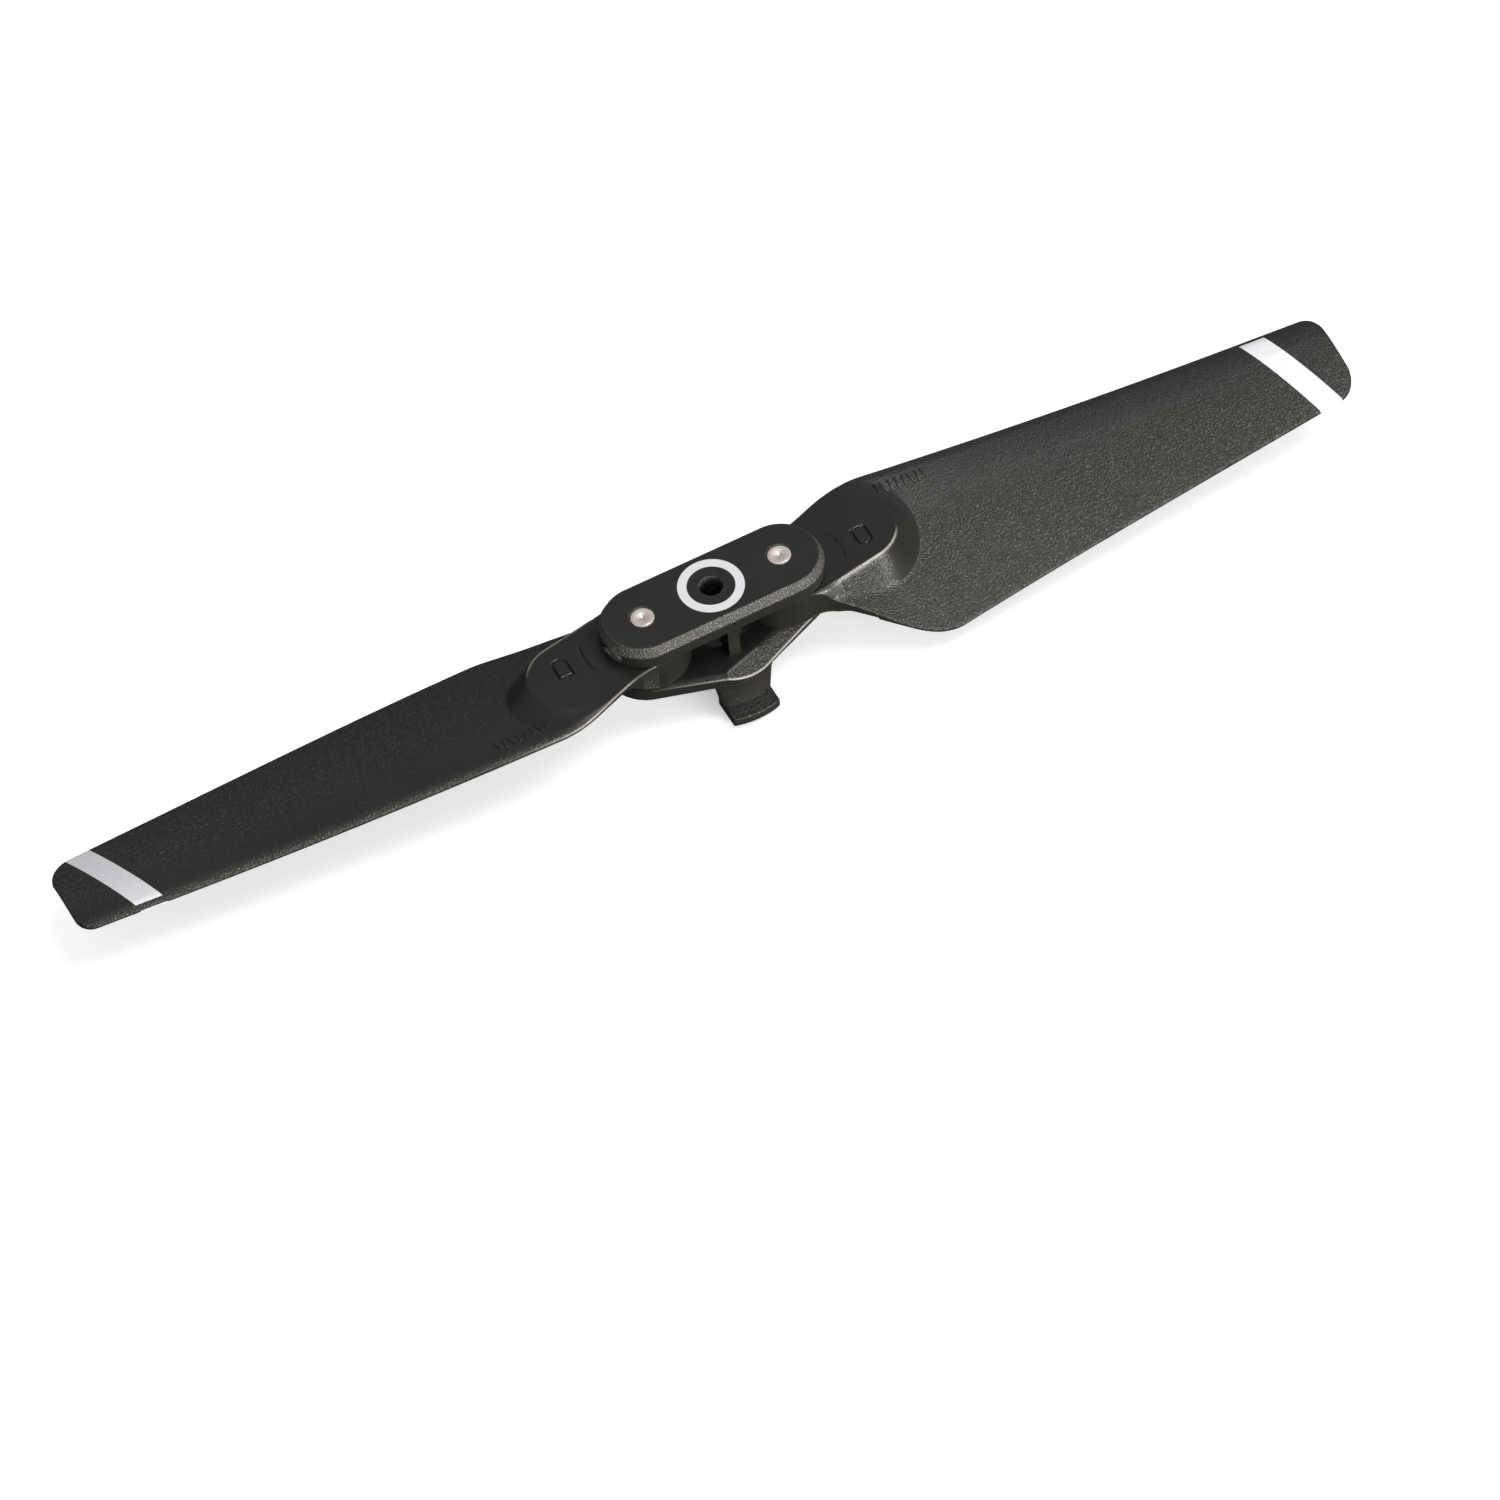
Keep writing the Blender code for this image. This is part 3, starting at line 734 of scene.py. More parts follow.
def build_cap():
    chamfer_low = CAP_TOP - CHAMFER_HEIGHT
    slope = CHAMFER_WIDTH / CHAMFER_HEIGHT
    crease, pull = CHAMFER_CREASE, CHAMFER_PULL
    profile = [(inset, CAP_BOTTOM + up) for inset, up in rounded_edge(EDGE_ROUND)]
    profile += [(0.0, chamfer_low - crease), (pull, chamfer_low),
                (crease * slope + 2.0 * pull, chamfer_low + crease)]
    for i in range(1, CHAMFER_STEPS + 1):
        up = mix(CHAMFER_MARGIN, CHAMFER_HEIGHT - CHAMFER_MARGIN, i / CHAMFER_STEPS)
        profile.append((up * slope, chamfer_low + up))
    profile += [(CHAMFER_WIDTH - pull, CAP_TOP - 3.0 * pull), (CHAMFER_WIDTH + crease, CAP_TOP),
                (CHAMFER_WIDTH + CAP_BORDER, CAP_TOP)]
    cap = loft("hub_cap_shell", [[(x, y, z) for x, y in stadium(inset)] for inset, z in profile])
    combine(cap, [build_gate_mark()], "UNION")
    holes = [bore_cutter("cap_bore", 0.0, MOTOR_BORE_RADIUS, CAP_BOTTOM, CAP_TOP, MOTOR_BORE_LIPS[0])]
    for x in (-PIVOT_X, PIVOT_X):
        radius = PIN_RADIUS + PIN_PLAY
        holes.append(bore_cutter("cap_pin_hole", x, radius, CAP_BOTTOM, CAP_TOP, PIN_HOLE_LIPS[0]))
    combine(cap, holes, "DIFFERENCE")
    smooth(cap, 28.0)
    gate = gate_frame()[0]

    def grain(point, normal):
        if (point - gate).length < GATE_SIZE[0]:
            return 1.0
        above = smoothstep(chamfer_low - CAP_GRAIN_EDGE, chamfer_low + CAP_GRAIN_EDGE, point.z)
        return max(above * (1.0 - ramp(*CAP_FACE_TILT, normal.z)), FAINT_GRAIN)
    paint(cap, "grain", grain)
    # Painted sheen: the grained chamfer and the gate mark are lightened by a share of the highlight colour.
    paint(cap, "worn", lambda point, normal: CAP_PAINTED_SHEEN * grain(point, normal))
    finish_piece(cap, moulded_plastic("cap_plastic", ring_print), "hub", "cap_plastic", "hub_cap")


# -------- hub base

def flank_lean():
    """How far each straight flank turns away from the line of the pivots."""
    return math.asin((BELLY_RADIUS - HUB_END_RADIUS) / PIVOT_X)


def plate_outline():
    """Round lobes about the pivots and a wider belly, joined by straight flanks."""
    lobe = 90.0 - math.degrees(flank_lean())
    return (arc(PIVOT_X, 0.0, HUB_END_RADIUS, -RELIEF_LOBE_ANGLE, lobe, 40)
            + arc(0.0, 0.0, BELLY_RADIUS, lobe, 180.0 - RELIEF_BELLY_ANGLE, 24)
            + arc(-PIVOT_X, 0.0, HUB_END_RADIUS, 180.0 - RELIEF_LOBE_ANGLE, 180.0 + lobe, 40)
            + arc(0.0, 0.0, BELLY_RADIUS, 180.0 + lobe, 360.0 - RELIEF_BELLY_ANGLE, 24))


def relief_depth(x, y):
    """How far the plate's top has sloped away at a place on the front flank."""
    lean = flank_lean()
    past = x * math.sin(lean) - y * math.cos(lean) - RELIEF_START
    if past <= -RELIEF_CREASE:
        return 0.0
    if past < RELIEF_CREASE:
        return RELIEF_SLOPE * (past + RELIEF_CREASE) ** 2 / (4.0 * RELIEF_CREASE)
    return RELIEF_SLOPE * past


def sloped_away(x, y):
    """The same for both flanks, each the other turned half a turn."""
    return max(relief_depth(x, y), relief_depth(-x, -y))


def plate_height(x, y):
    return BASE_TOP - sloped_away(x, y)


def inset_outline(outline, inset):
    """Moves every point of a closed outline inwards, square to its neighbours."""
    moved = []
    for i, (x, y) in enumerate(outline):
        x0, y0 = outline[i - 1]
        x1, y1 = outline[(i + 1) % len(outline)]
        length = math.hypot(x1 - x0, y1 - y0)
        moved.append((x - (y1 - y0) / length * inset, y + (x1 - x0) / length * inset))
    return moved


def build_plate():
    """The base plate, with a rounded rim and a top that slopes away on two flanks."""
    outline = plate_outline()
    rings = []
    for inset, up in PLATE_RIM:
        rings.append([(x, y, BASE_BOTTOM + up) for x, y in inset_outline(outline, inset)])
    for inset, down in reversed(PLATE_RIM):
        rings.append([(x, y, plate_height(x, y) - down) for x, y in inset_outline(outline, inset)])
    rim = inset_outline(outline, PLATE_RIM[0][0])
    for i in range(1, PLATE_RINGS):
        share = 1.0 - i / (PLATE_RINGS + 2)
        rings.append([(x * share, y * share, plate_height(x * share, y * share)) for x, y in rim])
    return loft("hub_base_shell", rings)


def hook_outline(inner, outer, half_width, side):
    """A piece of a ring about the spin axis with its two sides parallel."""
    def edge(radius, start, end):
        xs = [mix(start, end, i / 16) for i in range(17)]
        return [(x * side, math.sqrt(radius * radius - x * x) * side) for x in xs]
    return edge(inner, -half_width, half_width) + edge(outer, half_width, -half_width)


def build_hook(side):
    """One hook: a post that widens into a foot, an outward head, and the stop block inside it."""
    levels = [(HOOK_HEAD_THICKNESS * 0.5, 0.0, 0.0), (HOOK_HEAD_THICKNESS, 0.0, 0.0)]
    levels += [(BASE_BOTTOM + up, widened, fillet) for up, widened, fillet in HOOK_FOOT]
    rings = []
    for z, widened, fillet in levels:
        half = mix(HOOK_HALF_WIDTH, HOOK_ROOT_HALF_WIDTH, min(widened, 1.0)) + fillet * HOOK_FOOT_SPREAD
        outline = hook_outline(HOOK_INNER_RADIUS - fillet, HOOK_POST_RADIUS, half, side)
        rings.append([(x, y, z) for x, y in outline])
    post = soften(loft("hook_post", rings), HOOK_ROUND, 3, HOOK_SHARP_ANGLE)
    outline = hook_outline(HOOK_INNER_RADIUS + HEAD_LAP, HOOK_HEAD_RADIUS, HOOK_HALF_WIDTH + HEAD_LAP, side)
    head = loft("hook_head", [[(x, y, z) for x, y in outline] for z in (0.0, HOOK_HEAD_THICKNESS)])
    soften(head, HEAD_ROUND)
    inner = (HOOK_INNER_RADIUS - STOP_LENGTH) * side
    outer = (HOOK_INNER_RADIUS + STOP_LAP) * side
    low = (-STOP_HALF_WIDTH, min(inner, outer), BASE_BOTTOM - STOP_HEIGHT)
    high = (STOP_HALF_WIDTH, max(inner, outer), BASE_BOTTOM + UNION_SINK)
    stop = soften(box_solid("hook_stop", low, high), STOP_ROUND)
    return [post, head, stop]


def build_base():
    base = build_plate()
    middle = BASE_BOTTOM + UNION_SINK
    wall_top = BASE_HIGH.z
    foot = [(BOSS_RADIUS + out, BASE_TOP + up) for out, up in BOSS_FOOT]
    top = [(BOSS_RADIUS, wall_top - BOSS_ROUND), (BOSS_RADIUS - BOSS_ROUND, wall_top), (0.0, wall_top)]
    boss = lathe("centre_boss", [(0.0, middle), (foot[0][0], middle)] + foot + top)
    rib_end = HUB_END_RADIUS - RIB_SHORT
    low, high = (-RIB_HALF_THICKNESS, -rib_end, middle), (RIB_HALF_THICKNESS, rib_end, wall_top)
    rib = soften(box_solid("centre_rib", low, high), RIB_ROUND)
    ring_bottom = BASE_BOTTOM - SEAT_RING_HEIGHT
    ring = [(SEAT_RING_RADIUS - inset, ring_bottom + up) for inset, up in rounded_edge(SEAT_ROUND, 1.0 / 3.0)]
    ring = [(0.0, middle), (SEAT_RING_RADIUS, middle)] + ring[::-1] + [(0.0, ring_bottom)]
    seat = lathe("motor_seat_ring", ring)
    combine(base, [boss, rib, seat] + build_hook(1.0) + build_hook(-1.0), "UNION")
    holes = [bore_cutter("base_bore", 0.0, MOTOR_BORE_RADIUS, ring_bottom, wall_top, MOTOR_BORE_LIPS[1])]
    for x in (-PIVOT_X, PIVOT_X):
        radius = PIN_TAIL_RADIUS + PIN_PLAY
        holes.append(bore_cutter("base_pin_hole", x, radius, BASE_BOTTOM, BASE_TOP, PIN_HOLE_LIPS[1]))
    combine(base, holes, "DIFFERENCE")
    smooth(base, 32.0)

    def grain(point, normal):
        above = smoothstep(*SLOPE_GRAIN, sloped_away(point.x, point.y)) * ramp(*SLOPE_TILT, normal.z)
        hooks = HOOK_GRAIN if point.z < BASE_BOTTOM - UNION_SINK else UPPER_HOOK_GRAIN
        return max(above, hooks)

    def worn(point, normal):
        """A painted highlight: the fine pale line round the rim of the plate's sloped flanks."""
        tilted = RIM_TILT[0] < normal.z < RIM_TILT[1]
        off_top = abs(point.z - plate_height(point.x, point.y))
        if not tilted or off_top >= PLATE_RIM[-1][1] or math.hypot(point.x, point.y) < HUB_END_RADIUS:
            return 0.0
        return PLATE_RIM_HIGHLIGHT * smoothstep(*SLOPE_HIGHLIGHT, sloped_away(point.x, point.y))
    paint(base, "grain", grain)
    # Painted highlight along the rim of the sloped flanks.
    paint(base, "worn", worn)
    material = moulded_plastic("base_plastic")
    finish_piece(base, material, "hub", "hub_plastic", "hub_base")
    finish_piece(ejector_marks(material), material, "hub", "hub_plastic")


# -------- geometry nodes

class Tree:
    """A geometry node tree with named inputs."""

    def __init__(self, name):
        self.group = bpy.data.node_groups.new(name, "GeometryNodeTree")
        self.group.interface.new_socket("Geometry", in_out="OUTPUT", socket_type="NodeSocketGeometry")
        self.inputs = self.group.nodes.new("NodeGroupInput")
        self.given = {}

    def value(self, name, kind, given):
        socket = self.group.interface.new_socket(name, in_out="INPUT", socket_type=f"NodeSocket{kind}")
        self.given[socket.identifier] = given
        return self.inputs.outputs[name]

    def node(self, kind, inputs=None, **settings):
        made = self.group.nodes.new(kind)
        for name, setting in settings.items():
            setattr(made, name, setting)
        for name, given in (inputs or {}).items():
            if isinstance(given, bpy.types.NodeSocket):
                self.group.links.new(given, made.inputs[name])
            else:
                made.inputs[name].default_value = given
        return made

    def grow(self, name, geometry, material):
        """Ends the tree, runs it on a new object and returns that object with a plain mesh."""
        solid = self.node("GeometryNodeRealizeInstances", {"Geometry": geometry})
        dressed = self.node("GeometryNodeSetMaterial", {"Geometry": solid.outputs[0], "Material": material})
        end = self.group.nodes.new("NodeGroupOutput")
        self.group.links.new(dressed.outputs[0], end.inputs[0])
        obj = show(bpy.data.meshes.new(name), name)
        modifier = obj.modifiers.new("Grow", "NODES")
        modifier.node_group = self.group
        for identifier, given in self.given.items():
            modifier[identifier] = given
        return settle(obj)


def tally_marks(blade, material):
    """A row of plain raised ticks on the top of a blade, near its leading edge."""
    tree = Tree("Tally marks")
    target = tree.value("Blade", "Object", blade)
    count = tree.value("Count", "Int", TICK_COUNT)
    first = tree.value("First", "Vector", Vector((*TICK_ROW[0], CAP_TOP)) * MM)
    last = tree.value("Last", "Vector", Vector((*TICK_ROW[1], CAP_TOP)) * MM)
    size = tree.value("Tick size", "Vector", Vector(TICK_SIZE) * MM)
    solid = tree.node("GeometryNodeObjectInfo", {"Object": target})
    line = {"Count": count, "Start Location": first, "Offset": last}
    row = tree.node("GeometryNodeMeshLine", line, mode="END_POINTS")
    ray = {"Target Geometry": solid.outputs["Geometry"], "Ray Direction": (0.0, 0.0, -1.0),
           "Ray Length": CAP_TOP * MM}
    hit = tree.node("GeometryNodeRaycast", ray)
    landing = {"Geometry": row.outputs[0], "Position": hit.outputs["Hit Position"]}
    laid = tree.node("GeometryNodeSetPosition", landing)
    upright = tree.node("FunctionNodeAlignRotationToVector", {"Vector": hit.outputs["Hit Normal"]}, axis="Z")
    tick = tree.node("GeometryNodeMeshCube", {"Size": size})
    spread = {"Points": laid.outputs[0], "Instance": tick.outputs[0], "Rotation": upright.outputs[0]}
    ticks = tree.node("GeometryNodeInstanceOnPoints", spread)
    marks = tree.grow(f"{blade.name}_ticks", ticks.outputs[0], material)
    soften(marks, TICK_ROUND, 2)
    return smooth(marks, 30.0)


def ejector_marks(material):
    """Low round steps left by the mould's pins on the underside of the base."""
    tree = Tree("Ejector marks")
    width = tree.value("Spread along", "Float", EJECTOR_SPREAD[0] * MM)
    depth = tree.value("Spread across", "Float", EJECTOR_SPREAD[1] * MM)
    radius = tree.value("Radius", "Float", EJECTOR_RADIUS * MM)
    height = tree.value("Height", "Float", EJECTOR_HEIGHT * MM)
    level = tree.value("Level", "Vector", (0.0, 0.0, (BASE_BOTTOM - EJECTOR_SINK) * MM))
    grid = {"Size X": width, "Size Y": depth, "Vertices X": 2, "Vertices Y": 2}
    corners = tree.node("GeometryNodeMeshGrid", grid)
    moved = tree.node("GeometryNodeTransform", {"Geometry": corners.outputs[0], "Translation": level})
    disc = tree.node("GeometryNodeMeshCylinder", {"Vertices": 64, "Radius": radius, "Depth": height})
    placing = {"Points": moved.outputs[0], "Instance": disc.outputs[0]}
    spread = tree.node("GeometryNodeInstanceOnPoints", placing)
    marks = tree.grow("ejector_marks", spread.outputs[0], material)
    soften(marks, EJECTOR_ROUND, 2)
    return smooth(marks, 30.0)


# -------- pivot pins

def build_pin(name, side):
    """A stepped pin with a turned head, a centre dimple and a riveted tail."""
    top, bottom = PIN_HIGH.z, PIN_LOW.z
    step = BASE_TOP + PIN_STEP_PLAY
    profile = [(radius, top - depth) for radius, depth in PIN_DIMPLE]
    profile += [(PIN_RADIUS - inset, top - drop) for inset, drop in PIN_HEAD_EDGE]
    profile += [(PIN_RADIUS, step), (PIN_TAIL_RADIUS, step)]
    profile += [(PIN_TAIL_RADIUS - inset, bottom + up) for inset, up in PIN_TAIL_EDGE]
    profile += [(radius, bottom + depth) for radius, depth in PIN_TAIL_DIMPLE]
    pin = lathe(f"{name}_turned", profile, side * PIVOT_X)
    smooth(pin, 40.0)
    finish_piece(pin, turned_steel(f"{name}_steel", side * PIVOT_X), "hub", "pin_steel", name)


# -------- blades

def tip_pull(along, radius):
    """How far a round tip corner has drawn the edge in."""
    over = along - (BLADE_LENGTH - radius)
    if over <= 0.0:
        return 0.0
    over = min(over, radius * TIP_ARC_SHARE)
    return radius - math.sqrt(radius * radius - over * over)


def edge_y(along, root, shoulder, tip, flare):
    """One edge of the outline: the knuckle's side at the root, then a straight taper to the tip."""
    slope = (tip - shoulder) / (BLADE_LENGTH - SHOULDER_AT)
    return mix(root, shoulder + slope * (along - SHOULDER_AT), smoothstep(*flare, along))


def leading_y(along):
    root = KNUCKLE_RADIUS - ROOT_INSET
    return edge_y(along, root, LE_SHOULDER_Y, LE_TIP_Y, LE_FLARE) - tip_pull(along, LE_CORNER_RADIUS)


def trailing_y(along):
    root = -KNUCKLE_RADIUS + ROOT_INSET
    return edge_y(along, root, TE_SHOULDER_Y, TE_TIP_Y, TE_FLARE) + tip_pull(along, TE_CORNER_RADIUS)


def chord_heights(along):
    """Mid heights of the trailing and leading edges below the tongue's top face."""
    level = max(LE_LEVEL_AT - along, 0.0) / LE_RISE_LENGTH
    leading = min(-LE_TIP_DROP + LE_RISE * level * level, -LE_ROOT_DROP)
    twist = PITCH / (2.0 * math.pi * math.hypot(along + PIVOT_X, PITCH_CORE))
    twisted = leading - twist * (leading_y(along) - trailing_y(along))
    dip = ramp(TE_DIP_START, TE_DIP_START + TE_DIP_LENGTH, along)
    return mix(-TE_ROOT_DROP, twisted, 1.0 - (1.0 - dip) ** 2), leading


def folded_floor(along, y):
    """The lowest that the trailing half may reach and still pass over the base plate."""
    reach = smoothstep(*FOLD_REACH, along) * (TE_ROOT_WALL + FOLD_FREE)
    return TONGUE_BOTTOM - TONGUE_TOP + FOLD_PLAY - relief_depth(PIVOT_X + y, -along) - reach


def eased_ramp(value, foot, brow):
    """A ramp from 0 to 1 with a small rounding at its foot and at its brow."""
    if value < 1.0 - brow:
        if value > foot:
            return value
        return (max(value + foot, 0.0)) ** 2 / (4.0 * foot)
    return 1.0 - max(1.0 + brow - value, 0.0) ** 2 / (4.0 * brow)


def from_brow(along, y):
    """How far a place lies in from the foot of the tongue's wall, and how wide the wall is there."""
    past = max(along - TONGUE_SPINE_END, 0.0)
    inside = TONGUE_RADIUS - math.hypot(past, y - TONGUE_MIDDLE_Y)
    return inside, mix(*TONGUE_WALL, ramp(*TONGUE_WALL_GROWS, along))


def tongue_share(along, y):
    """1 on the raised tongue, 0 past the foot of its wall."""
    inside, wall = from_brow(along, y)
    return eased_ramp(inside / wall, TONGUE_ROUNDING / wall, TONGUE_ROUNDING / wall)


def rim_drop(from_edge):
    """How far the rounded rim of the root has dropped, at a distance in from the edge."""
    if from_edge >= RIM_RADIUS:
        return 0.0
    return RIM_RADIUS - math.sqrt(RIM_RADIUS ** 2 - (RIM_RADIUS - from_edge) ** 2)


def tongue_bead(along, y):
    """A fine raised line on the tongue's trailing brow, where the two halves of the mould met."""
    inside, wall = from_brow(along, y)
    fades = smoothstep(*BEAD_ACROSS, y) * smoothstep(*BEAD_ALONG, along)
    return BEAD_HEIGHT * math.exp(-((inside - wall) / BEAD_WIDTH) ** 2) * fades


def groove(along, y):
    """Depth of the crescent and of the slot outline that are sunk in the tongue."""
    cx, cy, radius = CRESCENT_OUTER
    past_inner_line = math.hypot(along - cx, y - cy) - radius if along > CRESCENT_FROM else -1.0
    cx, cy, radius = CRESCENT_INNER
    inside_outer_line = radius - math.hypot(along - cx, y - cy)
    shelving = inside_outer_line / max(inside_outer_line + past_inner_line, 0.01)
    depth = smoothstep(*CRESCENT_EDGE, past_inner_line) * ramp(0.0, 1.0, shelving) ** 2
    dx, dy = along - SLOT_MIDDLE[0], y - SLOT_MIDDLE[1]
    if dy < 0.0:
        from_line = abs(math.hypot(dx, dy) - SLOT_HALF_WIDTH)
    elif y < SLOT_OPEN_Y:
        from_end = SLOT_OPEN_Y - y if abs(dx) < SLOT_HALF_WIDTH else FAR_AWAY
        from_line = min(abs(abs(dx) - SLOT_HALF_WIDTH), from_end)
    else:
        from_line = math.hypot(max(abs(dx) - SLOT_HALF_WIDTH, 0.0), y - SLOT_OPEN_Y)
    line_inner, line_outer = (SLOT_LINE * share for share in SLOT_LINE_EDGE)
    depth = max(depth, 1.0 - smoothstep(line_inner, line_outer, from_line))
    return GROOVE_DEPTH * depth


def section(along, top_steps, bottom_steps):
    """One closed section of the blade: up over the top from the trailing edge, back below."""
    y_te, y_le = trailing_y(along), leading_y(along)
    z_te, z_le = chord_heights(along)
    chord = y_le - y_te
    thick = mix(ROOT_THICKNESS, TIP_THICKNESS, ramp(SHOULDER_AT, BLADE_LENGTH, along))
    tongue_bottom = TONGUE_BOTTOM - TONGUE_TOP
    wall = mix(TE_ROOT_WALL, TE_THICKNESS, smoothstep(*TE_WALL_FADES, along))
    le_thins = smoothstep(*LE_THINS, along)
    te_thins = smoothstep(*TE_THINS, along)

    def thickness(share):
        nose = min((1.0 - share) * chord / NOSE_LENGTH, 1.0)
        tail = min(TAIL_START + share * chord / TAIL_LENGTH, 1.0)
        body = mix(TE_THICKNESS, thick, min(share * BODY_GROWTH, 1.0))
        return body * tail * math.sqrt(1.0 - (1.0 - nose) ** 2)

    def middle(share):
        return mix(z_te, z_le, share) + CAMBER * chord * 4.0 * share * (1.0 - share)

    def top(share):
        y = mix(y_te, y_le, share)
        level = -rim_drop((1.0 - share) * chord)
        z = middle(share) + thickness(share) / 2.0
        z = mix(z, max(z, level), tongue_share(along, y))
        return min(z, level) - groove(along, y) + tongue_bead(along, y)

    def bottom(share):
        below = mix(wall - TE_THICKNESS / 2.0, 0.0, smoothstep(0.0, TE_WALL_REACH, share))
        below = max(below, thickness(share) / 2.0)
        thins = mix(te_thins, le_thins, smoothstep(*HALVES_MEET, share))
        z = mix(tongue_bottom, middle(share) - below, thins)
        passing = mix(tongue_bottom, folded_floor(along, mix(y_te, y_le, share)), te_thins)
        return max(z, passing)

    ring = [(along, mix(y_te, y_le, s), TONGUE_TOP + top(s)) for s in top_steps]
    ring += [(along, mix(y_te, y_le, s), TONGUE_TOP + bottom(s)) for s in reversed(bottom_steps)]
    ring += [(along, y_te, TONGUE_TOP + mix(bottom(0.0), top(0.0), up)) for up in TE_WALL_ROWS]
    return [(PIVOT_X + x, y, z) for x, y, z in ring]


def spaced(stops):
    """Values that run through the stops, each with the number of steps up to it."""
    values = [stops[0][0]]
    for (start, _), (end, count) in zip(stops, stops[1:]):
        values += [mix(start, end, i / count) for i in range(1, count + 1)]
    return values


def blade_stations():
    corner = BLADE_LENGTH - TE_CORNER_RADIUS
    inner = spaced([*STATION_STOPS, (corner, OUTER_STATIONS)])
    turns = range(TIP_STEP_DEGREES, 90, TIP_STEP_DEGREES)
    tip = [corner + TE_CORNER_RADIUS * math.sin(math.radians(turn)) for turn in turns]
    return inner + tip + [BLADE_LENGTH]


def nose_steps(count, start):
    """Steps towards the leading edge that grow finer, for a round nose."""
    return [mix(start, 1.0, math.sin(i / count * math.pi / 2)) for i in range(1, count + 1)]


def blade_solid():
    """The right blade in its place, with its knuckle and bore."""
    nose = TOP_STOPS[-1][0]
    top_steps = spaced(TOP_STOPS) + nose_steps(NOSE_STEPS[0], nose)
    bottom_steps = spaced(BOTTOM_STOPS) + nose_steps(NOSE_STEPS[1], nose)[:-1]
    blade = loft("right_blade_shell", [section(along, top_steps, bottom_steps) for along in blade_stations()])
    low, high = KNUCKLE_BOTTOM, KNUCKLE_TOP
    rim = rounded_edge(EDGE_ROUND)
    profile = [(0.0, low)] + [(KNUCKLE_RADIUS - inset, low + up) for inset, up in rim]
    profile += [(KNUCKLE_RADIUS - inset, high - down) for inset, down in reversed(rim)] + [(0.0, high)]
    combine(blade, [lathe("knuckle", profile, PIVOT_X, 128)], "UNION")
    bore = bore_cutter("knuckle_bore", PIVOT_X, PIN_RADIUS + PIN_PLAY, low, high, MOTOR_BORE_LIPS[0])
    combine(blade, [bore], "DIFFERENCE")
    return smooth(blade, 40.0)


def blade_grain(point, normal):
    """Where a blade is grained: all of it but the tongue, its side walls and a strip by the leading edge."""
    along = point.x - PIVOT_X
    y_te, y_le = trailing_y(along), leading_y(along)
    if normal.z < UNDERSIDE_TILT:
        x, y = UNDERSIDE_SMOOTH
        off_tongue = smoothstep(*UNDERSIDE_FADE, math.hypot(along - x, point.y - y))
        return UNDERSIDE_FAINT + (1.0 - UNDERSIDE_FAINT) * off_tongue
    nose = ramp(*NOSE_GRAIN_WIDTH, y_le - point.y) * smoothstep(*NOSE_GRAIN_ALONG, along)
    nose *= ramp(*NOSE_GRAIN_TILT, normal.z)
    strip = 1.0 - SMOOTH_STRIP_SHARE * smoothstep(*SMOOTH_STRIP, (point.y - y_te) / (y_le - y_te))
    raised = tongue_share(along, point.y)
    wall = smoothstep(*WALL_GRAIN_ALONG, along) * smoothstep(*WALL_GRAIN_ACROSS, point.y)
    wall *= 1.0 - ramp(*WALL_GRAIN_BROW, raised)
    off_tongue = mix(1.0 - ramp(*TONGUE_FOOT, raised), 1.0, wall)
    root = smoothstep(*ROOT_GRAIN, along) * (1.0 - ROOT_FAINT) + ROOT_FAINT
    from_side = min(point.y - y_te, y_le - point.y, along - KNUCKLE_RADIUS)
    side_wall = FAINT_GRAIN if normal.z < SIDE_WALL_TILT and from_side < SIDE_WALL_REACH else 1.0
    return max(strip * off_tongue, nose) * root * side_wall


def blade_painted_highlights(point, normal):
    """Painted highlights: the fine pale lines on the tongue's trailing brow and on the rim of the root."""
    if normal.z < HIGHLIGHT_TILT:
        return 0.0
    along = point.x - PIVOT_X
    inside, wall = from_brow(along, point.y)
    brow = math.exp(-((inside - wall) / BROW_HIGHLIGHT_WIDTH) ** 2)
    brow *= smoothstep(*BEAD_ACROSS, point.y) * smoothstep(*BROW_HIGHLIGHT_ALONG, along)
    rim = math.exp(-((leading_y(along) - point.y - RIM_HIGHLIGHT_INSET) / RIM_HIGHLIGHT_WIDTH) ** 2)
    rim *= smoothstep(*RIM_HIGHLIGHT_STARTS, along) * smoothstep(*RIM_HIGHLIGHT_ENDS, along) * RIM_HIGHLIGHT_SHARE
    return max(brow, rim)


def from_leading_edge(point, normal):
    """Distance in from the leading edge.  The underside counts as far away."""
    return FAR_AWAY if normal.z < 0.0 else leading_y(point.x - PIVOT_X) - point.y


def build_blades():
    blade = blade_solid()
    paint(blade, "grain", blade_grain)
    # Painted highlights on the brow and on the root's rim.
    paint(blade, "worn", blade_painted_highlights)
    paint(blade, "from_edge", from_leading_edge)
    ticks = tally_marks(blade, None)
    for side, name in ((1.0, "right_blade"), (-1.0, "left_blade")):
        material = moulded_plastic(f"{name}_plastic", band_print(side))
        turn = Matrix.Rotation(0.0 if side > 0.0 else math.pi, 4, "Z")
        for made, label in ((blade, "shell"), (ticks, "ticks")):
            piece = show(made.data.copy(), f"{name}_{label}_finished")
            piece.data.transform(turn)
            finish_piece(piece, material, name, "blade_plastic", *([name] if made == blade else []))
    for made in (blade, ticks):
        bpy.data.objects.remove(made, do_unlink=True)


# -------- stage, lights and camera

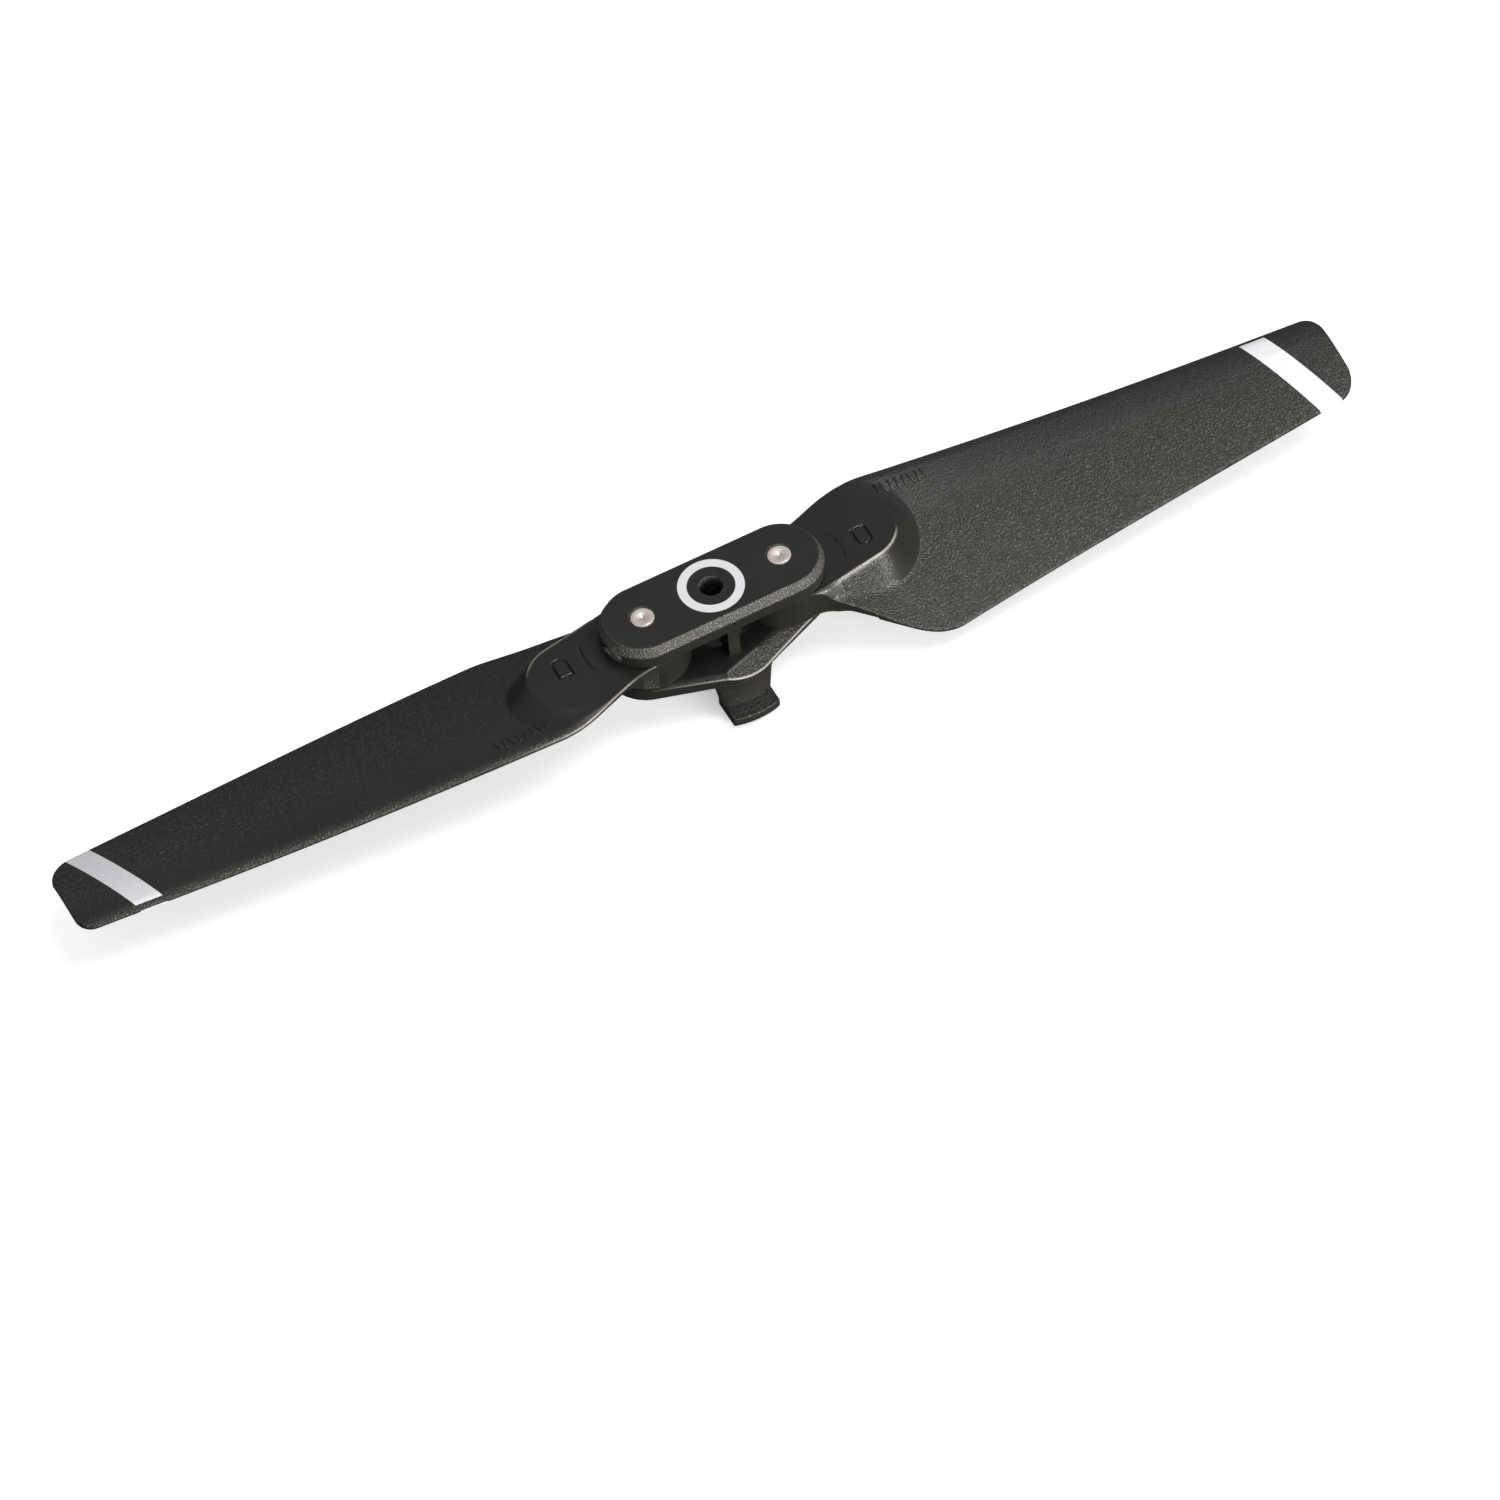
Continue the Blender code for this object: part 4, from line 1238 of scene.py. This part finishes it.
def build_floor():
    """A pale floor that keeps its own light off the propeller."""
    bpy.ops.mesh.primitive_plane_add(size=FLOOR_WIDTH * MM, location=(0.0, 0.0, FLOOR_LEVEL * MM))
    floor = bpy.context.object
    floor.name = "studio_floor"
    sheet = Sheet("pale_floor")
    sheet.feed(sheet.shader.inputs["Base Color"], sheet.blend(sheet.noise(FLOOR_PATCH), *FLOOR_TONES))
    sheet.shader.inputs["Roughness"].default_value = FLOOR_ROUGHNESS
    sheet.shader.inputs["Specular IOR Level"].default_value = FLOOR_GLOSS
    sheet.shader.inputs["Emission Color"].default_value = (1.0, 1.0, 1.0, 1.0)
    sheet.shader.inputs["Emission Strength"].default_value = FLOOR_GLOW
    floor.data.materials.append(sheet.material)
    floor.visible_glossy = False
    floor.visible_diffuse = False


def area_light(name, direction, distance, size, radiance):
    """A soft rectangular light of a given brightness, aimed at the hub from a direction."""
    width, height = size
    light = bpy.data.lights.new(name, "AREA")
    light.shape = "RECTANGLE"
    light.size = width
    light.size_y = height
    light.energy = radiance * math.pi * width * height
    light.color = LAMP_WHITE
    obj = bpy.data.objects.new(name, light)
    toward = Vector(direction).normalized()
    obj.location = toward * distance
    obj.rotation_euler = toward.to_track_quat("Z", "Y").to_euler()
    bpy.context.scene.collection.objects.link(obj)


def build_lights():
    """Four softboxes, and a sky that fades out below the horizon."""
    world = bpy.data.worlds.new("studio")
    world.use_nodes = True
    nodes, links = world.node_tree.nodes, world.node_tree.links
    way = nodes.new("ShaderNodeSeparateXYZ")
    links.new(nodes.new("ShaderNodeTexCoord").outputs["Generated"], way.inputs[0])
    fade = nodes.new("ShaderNodeMapRange")
    fade.interpolation_type = "SMOOTHSTEP"
    for name, given in zip(("From Min", "From Max", "To Min", "To Max"), SKY_HORIZON + SKY_STRENGTHS):
        fade.inputs[name].default_value = given
    links.new(way.outputs[2], fade.inputs["Value"])
    links.new(fade.outputs["Result"], nodes["Background"].inputs["Strength"])
    nodes["Background"].inputs["Color"].default_value = (1.0, 1.0, 1.0, 1.0)
    bpy.context.scene.world = world
    for softbox in SOFTBOXES:
        area_light(*softbox)


def build_camera():
    """Looks down at the propeller from the front, with a long lens and a slight roll."""
    aim = Vector((*CAMERA_AIM, CAP_TOP)) * MM
    bearing, down, roll = (math.radians(a) for a in (CAMERA_BEARING, CAMERA_HEIGHT_ANGLE, CAMERA_ROLL))
    ahead = Vector((math.sin(bearing), math.cos(bearing), 0.0))
    forward = ahead * math.cos(down) + Vector((0.0, 0.0, -math.sin(down)))
    level = Vector((math.cos(bearing), -math.sin(bearing), 0.0))
    above = level.cross(forward)
    right = level * math.cos(roll) + above * math.sin(roll)
    lens = bpy.data.cameras.new("camera")
    lens.lens = CAMERA_LENS
    lens.sensor_width = CAMERA_SENSOR
    lens.clip_start = CAMERA_CLIP[0]
    lens.clip_end = CAMERA_CLIP[1]
    camera = bpy.data.objects.new("camera", lens)
    turn = Matrix((right, right.cross(forward), -forward)).transposed().to_4x4()
    camera.matrix_world = Matrix.Translation(aim - forward * CAMERA_DISTANCE * MM) @ turn
    bpy.context.scene.collection.objects.link(camera)
    bpy.context.scene.camera = camera


def main():
    build_camera()
    build_cap()
    build_base()
    build_pin("right_pivot_pin", 1.0)
    build_pin("left_pivot_pin", -1.0)
    build_blades()
    build_floor()
    build_lights()
    bpy.context.scene.view_settings.view_transform = "Standard"


main()
